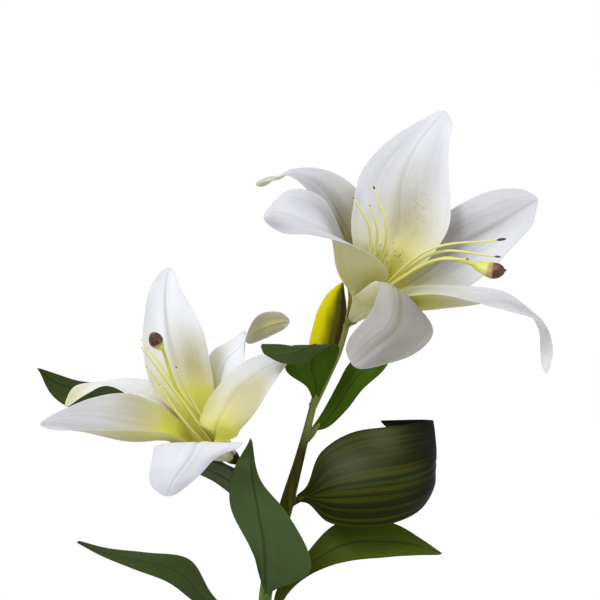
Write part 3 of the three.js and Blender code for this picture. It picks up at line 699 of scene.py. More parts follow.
# %% Tubes
def tube(knots, sides, steps, shape=None):
    """Points, faces, and place along, of a closed tube. Each knot is x, y, z and radius."""
    places = np.linspace(0, 1, steps + 1)
    knots = np.asarray(knots, float)
    line = smooth_line(knots[:, :3], places)
    padded = np.stack([knots[:, 3], 0 * knots[:, 3], 0 * knots[:, 3]], axis=1)
    radii = smooth_line(padded, places)[:, 0]
    tangents = unit(np.gradient(line, axis=0))
    side = np.array([1.0, 0, 0])
    if abs(tangents[0][0]) > 0.9:
        side = np.array([0, 1.0, 0])
    turns = circle(sides)
    rings = []
    for point, tangent, radius, place in zip(line, tangents, radii, places):
        side = unit(side - tangent * (side @ tangent))
        other = np.cross(tangent, side)
        swell = np.ones(sides) if shape is None else shape(turns, place)
        reach = (radius * swell)[:, None]
        rings.append(point + reach * (np.cos(turns)[:, None] * side + np.sin(turns)[:, None] * other))
    along = np.concatenate([np.repeat(places, sides), [0, 1]])
    return *closed_tube(rings, line[0], line[-1]), along


def gather(parts):
    """Several bodies as one, with their places along."""
    points, faces, along = [], [], []
    count = 0
    for part_points, part_faces, part_along in parts:
        faces += [tuple(count + i for i in face) for face in part_faces]
        points.append(part_points)
        along.append(part_along)
        count += len(part_points)
    return np.concatenate(points), faces, np.concatenate(along)


# %% Finishes of the small parts
def filament_finish():
    f = Finish("filament_green")
    [along] = f.paints("along")
    mottle = f.noise(f.place(), scale=400)
    colour = f.mix(along, (0.62, 0.64, 0.07), (0.78, 0.76, 0.22))
    colour = f.mix(mottle * 0.4, colour, (0.85, 0.82, 0.40))
    return f.finish(base_color=colour, roughness=0.42, normal=f.bump(mottle, 0.0001),
                    subsurface_weight=0.1, subsurface_scale=0.002)


def anther_finish():
    f = Finish("anther_dark")
    grains = f.noise(f.place(), scale=2500, detail=3)
    colour = f.mix(grains.between(0.4, 0.7), (0.035, 0.03, 0.026), (0.13, 0.11, 0.08))
    return f.finish(base_color=colour, roughness=0.8, normal=f.bump(grains, 0.0001))


STIGMA_MAROON = ((0.05, 0.012, 0.006), (0.12, 0.04, 0.018))


def pistil_finish():
    f = Finish("pistil_green")
    [along] = f.paints("along")
    mottle = f.noise(f.place(), scale=520, detail=3)
    edge = along + (mottle - 0.5) * 0.05
    colour = f.mix(edge.between(0.3, 0.5), (0.56, 0.56, 0.06), (0.66, 0.68, 0.14))
    colour = f.mix(edge.between(0.5, 0.53), colour, (0.42, 0.30, 0.10))
    brown = f.noise(f.place(), scale=170).between(0.5, 0.66) * 0.6
    cap = f.mix(brown, f.mix(mottle.between(0.4, 0.7), *STIGMA_MAROON), (0.30, 0.17, 0.05))
    colour = f.mix(edge.between(0.545, 0.575), colour, cap)
    # Painted highlight: beige at the very apex of the stigma.
    colour = f.mix(along.between(0.94, 0.96), colour, (0.50, 0.38, 0.28))
    relief = f.bump(mottle, 0.00018)
    return f.finish(base_color=colour, roughness=0.38 + mottle * 0.2, normal=relief)


FILAMENT = filament_finish()
POLLEN = anther_finish()
PISTIL = pistil_finish()

# %% Grow stamens and pistils
FILAMENT_RADIUS = 0.9
STYLE_RADIUS = 1.2
ANTHER_SIZES = {"right": [0.4, 1, 0.6, 0.3, 0.2, 0.2], "left": [0.25, 0.12, 0.12, 0.12, 0.2, 0.12]}
# Steps past the filament's tip in millimetres, and radii, of a full-sized anther.
ANTHER = [(-1, 0.3), (0.5, 0.6), (2.5, 0.9), (4.5, 0.8), (6, 0.2)]
STIGMA_RADII = {"right": 5.2, "left": 4.5}


def stigma_lobes(turns, place):
    """Three soft lobes from the neck of the pistil onwards."""
    return 1 + 0.07 * ease((place - 0.4) / 0.15) * np.cos(3 * turns)


for side, bloom in BLOOMS.items():
    spot = bloom_frame(bloom)
    filaments = []
    anthers = []
    for index, ((middle, tip), size) in enumerate(zip(bloom["filaments"], ANTHER_SIZES[side])):
        turn = 60 * index + bloom["filament_turn"]
        end = np.array(tip, float)
        ahead = unit(end - middle)
        knots = [
            [*spot(0.6, 1.9, turn), FILAMENT_RADIUS],
            [*spot(14, 3.8, turn), FILAMENT_RADIUS],
            [*middle, FILAMENT_RADIUS],
            [*end, FILAMENT_RADIUS * 0.55],
        ]
        filaments.append(tube(knots, 8, 40))
        spindle = [[*(end + ahead * step * size), radius * size**0.5] for step, radius in ANTHER]
        anthers.append(tube(spindle, 8, 12))
    points, faces, along = gather(filaments)
    make_piece(f"filaments_{side}", points, faces, FILAMENT, "filament", [f"stamens_{side}"], along=along)
    points, faces, along = gather(anthers)
    make_piece(f"anthers_{side}", points, faces, POLLEN, "filament", along=along)
    bend, neck, crown, top = (np.array(point, float) for point in bloom["style"])
    swell = STIGMA_RADII[side]
    knots = [
        [*spot(0.3, 0, 0), STYLE_RADIUS + 0.05],
        [*spot(14, 0, 0), STYLE_RADIUS],
        [*bend, STYLE_RADIUS - 0.1],
        [*neck, STYLE_RADIUS - 0.15],
        [*(neck + (crown - neck) * 0.42), swell * 0.64],
        [*crown, swell],
        [*(crown + (top - crown) * 0.5), swell * 0.86],
        [*(crown + (top - crown) * 0.85), swell * 0.5],
        [*top, swell * 0.14],
        [*(top + unit(top - crown) * 1.2), 0.3],
    ]
    points, faces, along = tube(knots, 30, 99, stigma_lobes)
    make_piece(f"pistil_{side}_skin", points, faces, PISTIL, "pistil", [f"pistil_{side}"], along=along)

# %% [markdown]
# ## The bud
# The bud is a closed bloom: three outer petals folded round the rest, so it is three-cornered and has a
# seam between each pair. It is a tube whose cross-section swells into lobes, with a narrow furrow at
# each seam. It runs from bright yellow green on the side towards the key light to brownish on its far
# side: partly its own uneven ripening, partly painted light and shade.

# %% Bud
BUD_RADIUS = 10.7
BUD_SIDES = 90
# Direction towards the key light; the bud's painted light and shade are worked out from it.
BUD_PAINTED_LIGHT = np.array([-0.93, -0.36, 0.0])


def seams(turns, breadth):
    """1 along each of the three seams, fading over `breadth` in radians."""
    return np.exp(-(((turns % (2 * np.pi / 3)) - np.pi / 3) / breadth) ** 2)


def bud_shape(turns, place):
    closed = ease((1 - place) / 0.12) * ease(place / 0.12)
    return 1 + closed * (0.06 * np.cos(3 * turns) - 0.07 * seams(turns, 0.16))


def bud_finish():
    f = Finish("bud_green")
    lit, along, seam = f.paints("lit along seam")
    stripes = f.noise(f.place((260, 260, 26)), detail=3)
    wander = (stripes - 0.5) * 0.35
    # Painted light and shade, partly the bud's own colour: brown away from the light, bright yellow green
    # towards it.
    colour = f.mix((lit + wander).between(0.3, 0.62), (0.045, 0.030, 0.005), (0.17, 0.17, 0.006))
    colour = f.mix((lit + wander).between(0.56, 0.86), colour, (0.62, 0.56, 0.0))
    colour = f.mix(seam * 0.55, colour, (0.12, 0.13, 0.015))
    colour = f.mix((1 - along * 5).between(0, 1) * 0.6, colour, (0.13, 0.16, 0.03))
    relief = f.bump(stripes, 0.0003, 0.6)
    return f.finish(base_color=colour, roughness=0.5, normal=relief, specular_ior_level=0.05)


knots = [
    [36.2, 4.3, 343.6, 3],
    [36.8, 7, 352, BUD_RADIUS * 0.8],
    [38.6, 11, 366, BUD_RADIUS],
    [42.6, 14, 383, BUD_RADIUS * 0.97],
    [46, 15, 396, BUD_RADIUS * 0.66],
    [50.6, 15, 406.5, 0.8],
]
points, faces, along = tube(knots, BUD_SIDES, BUD_SIDES, bud_shape)
centres = smooth_line([knot[:3] for knot in knots], along)
out = unit(points - centres)
turns = np.concatenate([np.tile(circle(BUD_SIDES), BUD_SIDES + 1), [0, 0]])
# The lit mask is painted light: 1 where the skin faces the key light, 0 on the far side.
make_piece(
    "bud_skin", points, faces, bud_finish(), "bud", ["bud"],
    along=along, lit=0.5 + out @ BUD_PAINTED_LIGHT / 2, seam=seams(turns, 0.14),
)

# %% [markdown]
# ## The stem
# The stem and the stalks of the blooms grow as one piece, so joints between plain tubes would look
# wrong. The tubes and a short collar under each leaf are laid into each other, remeshed into one skin
# with small voxels, and smoothed, which gives the soft fillets that a living joint has.

# %% Stem
def under_bloom(side, distance, radius):
    """A knot of a tube on a bloom's axis, as far below its base."""
    return [*bloom_frame(BLOOMS[side])(-distance, 0, 0), radius]


def stem_finish():
    f = Finish("stem_green")
    stripes = f.noise(f.place((300, 300, 14)), detail=4)
    patches = f.noise(f.place((30, 30, 12)), detail=3)
    height = f.height()
    colour = f.mix(stripes.between(0.35, 0.65), (0.022, 0.022, 0), (0.062, 0.063, 0.002))
    colour = f.mix(height.between(0.292, 0.318), colour, (0.195, 0.21, 0.055))
    colour = f.mix(1 - height.between(0.19, 0.245), colour, (0.165, 0.26, 0.055))
    colour = f.mix(patches.between(0.5, 0.7) * 0.6, colour, (0.05, 0.035, 0.008))
    relief = f.bump(stripes * 0.7 + patches * 0.3, 0.0004, 0.7)
    return f.finish(base_color=colour, roughness=0.48, normal=relief, specular_ior_level=0.08)


MAIN_STEM = [
    [0, 0, 58, 5.4], [0, 0, 130, 5.4], [0, 0, 172, 5.1], [0, 0, 200, 4.3], [5.5, 0, 230, 4.6],
    [14, 0, 262, 4.6], [21.6, 0, 289, 3.3], [27.4, 0, 311, 2.6], [32.5, 0, 331, 2.4], [36, 4, 343, 2.5],
]
RIGHT_STALK = [[31, 0, 324, 2], [40, -3, 343, 1.9], [48, -5, 361, 1.9], under_bloom("right", 9, 2)]
LEFT_STALK = [[13, 0, 253, 2.4], [2, -2, 262, 2.3], [-9, -3, 275, 2.2], under_bloom("left", 9, 2.2)]
RECEPTACLE = [(12, 2), (7, 2.6), (2.5, 4.4), (0.3, 4.8)]
LEAF_COLLARS = [
    [[27, -1, 304, 2.2], [30.5, -1, 308, 2.1], [33.5, -1.8, 312.5, 1.8], [36, -2.4, 315, 1.0]],
    [[30, -1, 326, 2.2], [33, -4, 331.4, 1.8], [33, -6, 333.5, 1.0]],
    [[16, 0, 262, 2.4], [20, -0.5, 264.4, 2.3], [24, -1.5, 266.3, 2.0], [28, -3.5, 267.5, 1.2]],
    [[6, 0, 236, 2.2], [3.4, 2.4, 240, 1.6], [1, 4.4, 244, 1.0]],
    [[-10, -2.4, 277, 1.6], [-14, -1, 281, 1.4], [-18, 1, 282.8, 0.9]],
    [[0.4, -1.5, 196, 3.4], [1, -5, 201.6, 2.2], [1, -7.6, 204.4, 1.2]],
    [[1, 0, 184, 3.4], [4.6, 0.8, 188, 2.0], [7, 1.6, 192, 1.2]],
    [[-1, 0, 163, 3.4], [-5.2, -1.6, 167.4, 2.0], [-8.4, -3.2, 170.6, 1.2]],
]
STEM_VOXEL = 0.55
tubes = [tube(MAIN_STEM, 40, 200), tube(RIGHT_STALK, 24, 60), tube(LEFT_STALK, 24, 60)]
for side in BLOOMS:
    tubes.append(tube([under_bloom(side, *size) for size in RECEPTACLE], 32, 30))
tubes += [tube(collar, 16, 14) for collar in LEAF_COLLARS]


def evaluated(piece):
    """The piece's mesh with its modifiers worked in, and the modifiers gone."""
    graph = bpy.context.evaluated_depsgraph_get()
    mesh = bpy.data.meshes.new_from_object(piece.evaluated_get(graph))
    old = piece.data
    piece.modifiers.clear()
    piece.data = mesh
    mesh.name = piece.name
    bpy.data.meshes.remove(old)
    return mesh


points, faces, along = gather(tubes)
stem = put("stem_skin", mesh_of("stem_skin", points, faces))
remesh = stem.modifiers.new("one skin", "REMESH")
remesh.mode = "VOXEL"
remesh.voxel_size = STEM_VOXEL * MM
remesh.use_smooth_shade = True
relax = stem.modifiers.new("fillets", "SMOOTH")
relax.factor = 0.5
relax.iterations = 6
evaluated(stem)
stem.data.materials.clear()
stem.data.materials.append(stem_finish())
settle(stem, "stem", ["stem"])

# %% [markdown]
# ## The leaves
# Lily leaves are stalkless blades with veins that run side by side from foot to tip, as in all
# grass-like plants. Each has its own pair of greens above and below, from a cool dark green to a fresh
# yellowish one. The leaves that show in front follow listed points. The ones low on the stem are
# worked out: each stands a golden angle of 137.5 degrees on from the one below it, which is how a lily
# keeps them out of each other's shade.

# %% Leaf finish
def leaf_finish(name, upper, below, lined):
    """Each face mixes a deep and a pale green; `lined` says how plainly the veins show. The sheen mask
    paints a highlight, a paler grey-green, and the dark mask paints shade, near black.
    """
    f = Finish(name)
    across, along, under, seed = f.paints("across along under seed")
    dark, sheen = f.paints("dark sheen")
    lines = f.noise(f.vector(across * 17, along * 0.8, seed * 7), detail=3)
    patches = f.noise(f.vector(across * 2, along * 3, seed * 3), detail=3)
    grain = f.noise(f.place(), scale=900, detail=2)
    veins = lines.between(0.4, 0.7)
    streaked = veins * lined + (patches - 0.5) * 0.8
    colour = f.mix(under, f.mix(streaked, *upper), f.mix(streaked, *below))
    # Painted highlight: a paler grey-green where the sheen mask lies.
    colour = f.mix(sheen, colour, (0.10, 0.115, 0.06))
    # Painted shade: near black where the dark mask lies.
    colour = f.mix(dark + (patches - 0.5) * dark, colour, (0.004, 0.007, 0.002))
    rib = (1 - abs(across) * 12).between(0, 1)
    colour = f.mix(rib * 0.6, colour, f.mix(under, (0.022, 0.036, 0.010), (0.085, 0.125, 0.03)))
    height = veins * (lined * 0.5 + 0.2) + patches * 0.4 + grain * 0.08
    rough = 0.42 + under * 0.1 + patches * 0.12
    return f.finish(
        base_color=colour, roughness=rough, normal=f.bump(height, 0.0004, 0.7), specular_ior_level=0.08,
    )


# %% The leaves that show
LEAVES = {
    "leaf_bud": [
        [31, -3.8, 331, 33, -3.8, 331, 35, -3.8, 332], [27, -10, 339, 33, -9, 341, 39, -8, 341],
        [14, -12, 349, 30, -15, 352, 46, -9, 356], [13, -14, 358, 32, -19, 361, 48, -14, 364],
        [18, -22, 365.5, 33, -26, 366, 44, -26, 366.5], [19, -29, 365, 26, -34, 364, 34, -37, 361],
        [12, -32, 366.5, 17, -39, 361.5, 25, -43, 354.5], [5, -33, 366.8, 6, -40, 361, 11, -44, 355],
        [-2, -35, 367, -2, -38, 365, -1, -41, 361],
    ],
    "leaf_under_right_bloom": [
        [31, -1, 313, 31.5, -1, 311.6, 31.5, -1, 310], [34, -2, 317, 37, -3, 314, 40, -3, 312],
        [39, -2, 325, 47, -7, 327, 53, -8, 324], [46, -2, 338, 56, -9, 341, 63, -10, 337],
        [56, -2, 355, 68, -9, 354, 77, -10, 350], [71, -1, 366, 78, -4, 365, 84, -6, 362],
        [85, 0, 373, 86, 0, 373, 87, 0, 372],
    ],
    "leaf_curled": [
        [20.6, -1, 268, 21.6, -1, 266, 20.6, -1, 264], [27, -3, 274, 30, -5, 268, 28, -4, 263],
        [36, -10, 296, 45, -17, 273, 40, -12, 252], [56, -8, 309, 68, -23, 277, 60, -12, 248],
        [79, -4, 312.5, 90, -21, 280, 85, -10, 251], [97, 3, 314.5, 107, -10, 285, 102, -2, 260],
        [110, 12, 316, 111.5, 3, 290, 110, 6, 274], [104, 22, 316.3, 106, 18, 300, 106, 15, 286],
        [90, 26, 316, 91, 24, 308, 93, 22, 299], [76, 27, 315.6, 76, 27, 315, 77, 26, 313.6],
    ],
    "leaf_behind_left_bloom": [
        [-13.6, -1, 280, -14.6, -1, 282, -15.8, -1, 284], [-29, 13, 283, -30, 14, 287, -31, 15, 291],
        [-67, 20, 304, -69, 24, 316, -71, 24, 329], [-99, 26, 314, -103, 30, 327, -104, 30, 338.8],
        [-129, 26, 324, -128, 30, 336, -125, 30, 342], [-141, 25, 333, -141, 28, 342, -137, 28, 346],
        [-149, 24, 349, -150, 24, 350, -148, 24, 350],
    ],
    "leaf_under_left_bloom": [
        [2.6, 2, 238, 3.1, 3, 240, 2.8, 4, 243], [-4, 6, 248, -2, 7, 251, 0, 8, 254],
        [-19, -2, 266, -15, 3, 269, -11, 5, 272], [-32, -8, 277, -29, -4, 281, -25, -1, 286],
        [-47, -12, 285, -45, -9, 288, -42, -5, 291], [-54, -12, 292, -55, -12, 293, -53, -12, 293],
    ],
    "leaf_front": [
        [-1, -5.3, 201, 0.6, -5.3, 201, 2.2, -5.3, 201], [-0.6, -8, 206, 0.8, -7.6, 206, 4.6, -8, 206.2],
        [-1.8, -12, 212.2, 0.4, -10, 211.4, 19, -14, 212.6],
        [-3.4, -17, 221, -0.2, -14, 220, 29.2, -19, 220.6],
        [-9.3, -25, 236, -0.4, -21, 235.6, 28, -24, 233], [-22, -30, 264, -4, -28, 259, 14, -32, 259],
        [-20, -26, 285, -8, -28, 283, -3, -34, 281], [-10, -22, 304, -9, -22, 306, -8, -22, 304],
    ],
    "leaf_lower_right": [
        [4.8, 1, 190, 5.7, 1, 188, 5.7, 1, 186], [7.8, 3, 206.5, 11.2, 3, 205.2, 15, 3, 204],
        [23, 8, 224.5, 26, 6, 220.5, 29, 3, 216], [48, 16, 249, 53, 8, 236, 52, -2, 225],
        [83, 14, 249, 85, 8, 237, 81, 0, 228], [102, 9, 239, 102, 6, 234, 101, 2, 229],
        [114, 4, 231, 115, 4, 230, 114, 4, 229],
    ],
    "leaf_lower_left": [
        [-5.8, -2, 166, -5.8, -2, 168, -5.5, -2, 170], [-17, -8, 176, -16, -6, 180, -14, -4, 184],
        [-47, -20, 202, -40, -14, 203, -34, -6, 204], [-62, -26, 214, -56, -18, 220, -49, -8, 227],
        [-86, -26, 223, -81, -20, 227, -77, -10, 232], [-104, -22, 230, -103, -20, 232, -101, -16, 235],
        [-120, -18, 238, -121, -18, 239, -120, -18, 240],
    ],
}

# %% How the leaves are coloured
COOL = ((0.064, 0.098, 0.030), (0.088, 0.128, 0.044))
FRESH = ((0.044, 0.088, 0.001), (0.082, 0.128, 0.006))
SOFT = ((0.040, 0.060, 0.013), (0.060, 0.085, 0.021))
OLIVE = ((0.050, 0.072, 0.003), (0.080, 0.100, 0.010))
DEEP = ((0.013, 0.017, 0), (0.052, 0.056, 0.002))
GREY = ((0.100, 0.128, 0.060), (0.140, 0.170, 0.085))
# Upper face, underside, how plain the veins show, and soft spots as on the petals: painted shade with the
# dark mask, a painted highlight with sheen.
LEAF_TONES = {
    "leaf_bud": (FRESH, SOFT, 0.4, []),
    "leaf_under_right_bloom": (FRESH, OLIVE, 0.4, []),
    # Painted shade where the curled leaf turns away at its right end and on the flap behind, and a painted
    # highlight at its upper left.
    "leaf_curled": (DEEP, DEEP, 0.8, [
        ("dark", 0.65, 0, 0.13, ALL, 0.95), ("sheen", 0.27, -0.45, 0.12, 0.4, 0.45),
        ("sheen", 0.43, -0.8, 0.07, 0.3, 0.5), ("dark", 0.9, 0, 0.2, ALL, 0.85),
    ]),
    "leaf_behind_left_bloom": (SOFT, OLIVE, 0.3, []),
    "leaf_under_left_bloom": (GREY, OLIVE, 0.3, []),
    "leaf_front": (COOL, SOFT, 0.3, []),
    "leaf_lower_right": (OLIVE, FRESH, 0.4, []),
    "leaf_lower_left": (SOFT, OLIVE, 0.4, []),
}
LEAF_BOWL = 1.4
LEAF_CREASE = 0.6
LEAF_TIP = 1.2
LEAF_DENTS = 0.25


def grow_leaf(name, rows, index, finish, spots=()):
    blade = Blade(rows, LEAF_BOWL, LEAF_TIP, phase=index, dents=LEAF_DENTS)
    masks = {"dark": 0 * faces_down(), "sheen": 0 * faces_down()}
    for mask, *spot, strength in spots:
        masks[mask] = masks[mask] + strength * around(soft_spot(blade, *spot))
    make_blade(name, blade, LEAF_CREASE, finish, "leaf", 0.61 * index, masks)


for index, (name, rows) in enumerate(LEAVES.items()):
    *tones, spots = LEAF_TONES[name]
    grow_leaf(name, triples(rows), index, leaf_finish("green_" + name, *tones), spots)

# %% Leaves low on the stem
LOW_LEAF = leaf_finish("green_leaf_low", SOFT, OLIVE, 0.4)
LOW_LEAVES = 6
FIRST_TURN = 25
GOLDEN_ANGLE = 137.5
LOWEST_FOOT = 126
FOOT_SPACING = 9
LONGEST_LEAF = 116
# Reach, rise and half width of an arching leaf, in parts of its length.
LOWER_ARCH = [
    (0, 0, 0.015), (0.14, 0.1, 0.045), (0.4, 0.27, 0.12), (0.68, 0.36, 0.11), (0.88, 0.34, 0.06),
    (1, 0.29, 0.012),
]
for index in range(LOW_LEAVES):
    turn = math.radians(FIRST_TURN + GOLDEN_ANGLE * index)
    height = LOWEST_FOOT + FOOT_SPACING * index
    length = LONGEST_LEAF - 4 * index
    droop = 0.12 * index
    foot = 6 - 0.035 * index
    out = np.array([math.cos(turn), math.sin(turn), 0])
    across = np.array([math.sin(turn), -math.cos(turn), 0])
    rows = []
    for reach, rise, width in LOWER_ARCH:
        middle = out * (foot + reach * length)
        middle[2] = height + rise * length * (1 - droop * reach)
        aside = across * width * length
        lift = np.array([0, 0, 0.3 * width * length])
        rows.append([middle - aside + lift, middle, middle + aside + lift])
    grow_leaf(f"leaf_low_{index + 1}", rows, 10 + index, LOW_LEAF)

# %% [markdown]
# ## The pot
# The pot is plain red clay, thrown and turned: a tapered wall, a thick rim to lift it by, and edges
# rounded by a wet thumb. It is a profile turned round the middle. Fired clay is never one colour: it
# has fine horizontal lines from turning, darker and lighter patches, and a pale bloom of salts low down.

# %% Pot
POT = [
    (0, 0), (44, 0), (48, 0), (49.4, 0.6), (50.3, 2), (63.4, 106.4), (63.6, 107), (67.5, 107),
    (68.6, 107.4), (69, 108.5), (69, 124.5), (68.6, 125.6), (67.5, 126), (63.5, 126), (62.4, 125.6),
    (61.9, 124.5), (60.3, 113), (46.5, 4), (0, 4),
]
POT_SIDES = 144


def ring_of(radius, heights):
    """A level ring round the middle, with a height for each point."""
    turns = circle(len(heights))
    return np.column_stack([radius * np.cos(turns), radius * np.sin(turns), heights])


def turned(profile, sides):
    """A profile of radius and height, turned into a closed body."""
    rings = [ring_of(radius, np.full(sides, height)) for radius, height in profile[1:-1]]
    return closed_tube(rings, [0, 0, profile[0][1]], [0, 0, profile[-1][1]])


def clay_finish():
    f = Finish("red_clay")
    rings = f.noise(f.place((2, 2, 900)), detail=2)
    patches = f.noise(f.place(), scale=35, detail=4)
    grain = f.noise(f.place(), scale=1800, detail=2)
    height = f.height()
    colour = f.mix(patches.between(0.3, 0.7), (0.42, 0.135, 0.068), (0.48, 0.165, 0.085))
    colour = f.mix(rings.between(0.4, 0.7) * 0.3, colour, (0.33, 0.10, 0.05))
    salts = (1 - height * 14).between(0, 1) * patches.between(0.45, 0.7)
    colour = f.mix(salts * 0.4, colour, (0.66, 0.52, 0.42))
    relief = f.bump(rings * 0.5 + grain * 0.3 + patches * 0.2, 0.0003, 0.6)
    return f.finish(base_color=colour, roughness=0.82 + grain * 0.1, normal=relief)


points, faces = turned(POT, POT_SIDES)
make_piece("pot_skin", points, faces, clay_finish(), "clay", ["pot"])

# %% [markdown]
# ## The earth
# Potting soil is a loose mix of peat crumbs, bits of bark and a few white grains of perlite. A bed
# carries the soft lumps of the surface, and Geometry Nodes scatter crumbs over it: points are spread
# over the top face, each takes a rough crumb at its own size and turn, and the crumbs are made real.

# %% Bed of soil
SOIL_LEVEL = 112


def soil_height(x, y):
    lumps = np.sin(0.13 * x + 1) * np.cos(0.17 * y) + np.sin(0.31 * x - 0.23 * y)
    reach = np.hypot(x, y)
    calm = ease((reach - 6) / 8) * ease((60 - reach) / 8)
    fine = np.sin(0.9 * x + 0.4 * y) * np.sin(0.7 * y - 0.3 * x + 2)
    return SOIL_LEVEL + calm * (1.5 * lumps + 0.35 * fine)


def soil_finish():
    f = Finish("potting_soil")
    clods = f.noise(f.place(), scale=260, detail=5, roughness=0.65)
    colour = f.mix(clods.between(0.3, 0.7), (0.018, 0.011, 0.007), (0.075, 0.045, 0.027))
    return f.finish(base_color=colour, roughness=0.95, normal=f.bump(clods, 0.0012))


BED_RADII = [5.7, 7, 9, 12, 15, 18, 22, 26, 30, 34, 38, 42, 46, 50, 54, 57, 59.6]
BED_SIDES = 96
BED_FLOOR = 96
WALL_TAPER = 0.97
rings = [ring_of(radius, np.zeros(BED_SIDES)) for radius in BED_RADII]
hole = rings[0] + [0, 0, BED_FLOOR]
wall = rings[-1] * WALL_TAPER + [0, 0, BED_FLOOR]
for ring in rings:
    ring[:, 2] = soil_height(ring[:, 0], ring[:, 1])
rings = [*rings, wall, hole]
faces = wrap(len(rings), BED_SIDES, closed=True)
bed = make_piece("soil_bed", np.concatenate(rings), faces, soil_finish(), "soil", ["soil"])

# %% Crumbs to scatter
def crumb_mesh(name, seed, flat):
    """A rough lump about a millimetre across."""
    rough = np.random.default_rng(seed)
    lump = bmesh.new()
    bmesh.ops.create_icosphere(lump, subdivisions=1, radius=0.5 * MM)
    for vertex in lump.verts:
        vertex.co *= 1 + float(rough.uniform(-0.3, 0.3))
        vertex.co.z *= flat
    mesh = bpy.data.meshes.new(name)
    lump.to_mesh(mesh)
    lump.free()
    return put(name, mesh)


# %% [markdown]
# A node tree is built once, with its sizes as named inputs, and used for crumbs, bark and perlite alike.
# The seed is fixed, so the scatter is the same on every run.

# %% Scatter with Geometry Nodes
def scatter_tree():
    tree = bpy.data.node_groups.new("scatter", "GeometryNodeTree")
    face = tree.interface
    face.new_socket("Geometry", in_out="INPUT", socket_type="NodeSocketGeometry")
    kinds = {
        "Grain": "Object", "Density": "Float", "Smallest": "Float", "Largest": "Float", "Seed": "Int",
        "Finish": "Material", "Mask": "String",
    }
    for name, kind in kinds.items():
        face.new_socket(name, in_out="INPUT", socket_type="NodeSocket" + kind)
    face.new_socket("Geometry", in_out="OUTPUT", socket_type="NodeSocketGeometry")
    given = tree.nodes.new("NodeGroupInput").outputs

    def add(kind, settings=None, **values):
        return add_node(tree, kind, settings, values)

    mask = add("GeometryNodeInputNamedAttribute", {"data_type": "FLOAT"}, Name=given["Mask"])
    both = {0: given["Density"], 1: mask.outputs[0]}
    density = add_node(tree, "ShaderNodeMath", {"operation": "MULTIPLY"}, both)
    spread = add("GeometryNodeDistributePointsOnFaces", Mesh=given["Geometry"], Density=density.outputs[0],
                 Seed=given["Seed"])
    grain = add("GeometryNodeObjectInfo", {"transform_space": "ORIGINAL"}, Object=given["Grain"])
    turn = add("FunctionNodeRandomValue", {"data_type": "FLOAT_VECTOR"}, Min=(0.0, 0.0, 0.0),
               Max=(6.28, 6.28, 6.28), Seed=given["Seed"])
    size = add("FunctionNodeRandomValue", {"data_type": "FLOAT"}, Seed=given["Seed"])
    low, high = [s for s in size.inputs if s.name in ("Min", "Max") and s.enabled]
    tree.links.new(given["Smallest"], low)
    tree.links.new(given["Largest"], high)
    placed = add("GeometryNodeInstanceOnPoints", Points=spread.outputs["Points"],
                 Instance=grain.outputs["Geometry"], Rotation=turn.outputs[0],
                 Scale=[s for s in size.outputs if s.enabled][0])
    real = add("GeometryNodeRealizeInstances", Geometry=placed.outputs[0])
    dressed = add("GeometryNodeSetMaterial", Geometry=real.outputs[0], Material=given["Finish"])
    result = tree.nodes.new("NodeGroupOutput")
    tree.links.new(dressed.outputs[0], result.inputs[0])
    return tree


SCATTER = scatter_tree()


def scatter(name, ground, mask, grain, finish, slot, density, sizes, seed):
    """Grains over the ground where its point attribute `mask` is above 0. Sizes are in millimetres."""
    piece = put(name, ground.data.copy())
    modifier = piece.modifiers.new("scatter", "NODES")
    modifier.node_group = SCATTER
    wanted = {
        "Grain": grain, "Density": float(density), "Smallest": sizes[0], "Largest": sizes[1], "Seed": seed,
        "Finish": finish, "Mask": mask,
    }
    for socket in SCATTER.interface.items_tree:
        if socket.in_out == "INPUT" and socket.name in wanted:
            modifier[socket.identifier] = wanted[socket.name]
    evaluated(piece)
    return settle(piece, slot)


# %% Crumbs, bark and perlite
def crumb_finish(name, dark, pale):
    f = Finish(name)
    mottle = f.noise(f.place(), scale=420, detail=3)
    colour = f.mix(mottle.between(0.35, 0.65), dark, pale)
    return f.finish(base_color=colour, roughness=0.93, normal=f.bump(mottle, 0.0003))


# Crumbs lie on the top face, from just off the stem to just off the pot.
OPEN_SOIL = (6.5, 58.5)
OPEN_SOIL_HEIGHT = 105
places = np.array([vertex.co for vertex in bed.data.vertices]) / MM
reaches = np.hypot(places[:, 0], places[:, 1])
open_soil = (places[:, 2] > OPEN_SOIL_HEIGHT) & (reaches > OPEN_SOIL[0]) & (reaches < OPEN_SOIL[1])
top = bed.data.attributes.new("open_soil", "FLOAT", "POINT")
top.data.foreach_set("value", open_soil.astype(np.float32))
peat = crumb_mesh("grain_peat", 3, 0.8)
bark = crumb_mesh("grain_bark", 8, 0.35)
peat_brown = crumb_finish("peat_crumb", (0.014, 0.009, 0.006), (0.085, 0.05, 0.03))
scatter("soil_crumbs", bed, "open_soil", peat, peat_brown, "soil", 300000, (0.8, 2.6), 4)
bark_brown = crumb_finish("bark_chip", (0.05, 0.024, 0.012), (0.17, 0.09, 0.045))
scatter("soil_bark", bed, "open_soil", bark, bark_brown, "soil", 26000, (2.0, 4.6), 9)
perlite_white = crumb_finish("perlite", (0.55, 0.53, 0.48), (0.78, 0.76, 0.70))
scatter("soil_perlite", bed, "open_soil", peat, perlite_white, "soil", 9000, (0.9, 2.0), 15)

# %% [markdown]
# Deep in the throat a lily carries small dark freckles, which stand up from the petal. The same scatter
# sets them on the upper face, in a band that was painted when the petals grew.

# %% Freckles in the throat
FRECKLE = crumb_finish("freckle", (0.03, 0.022, 0.006), (0.12, 0.10, 0.02))
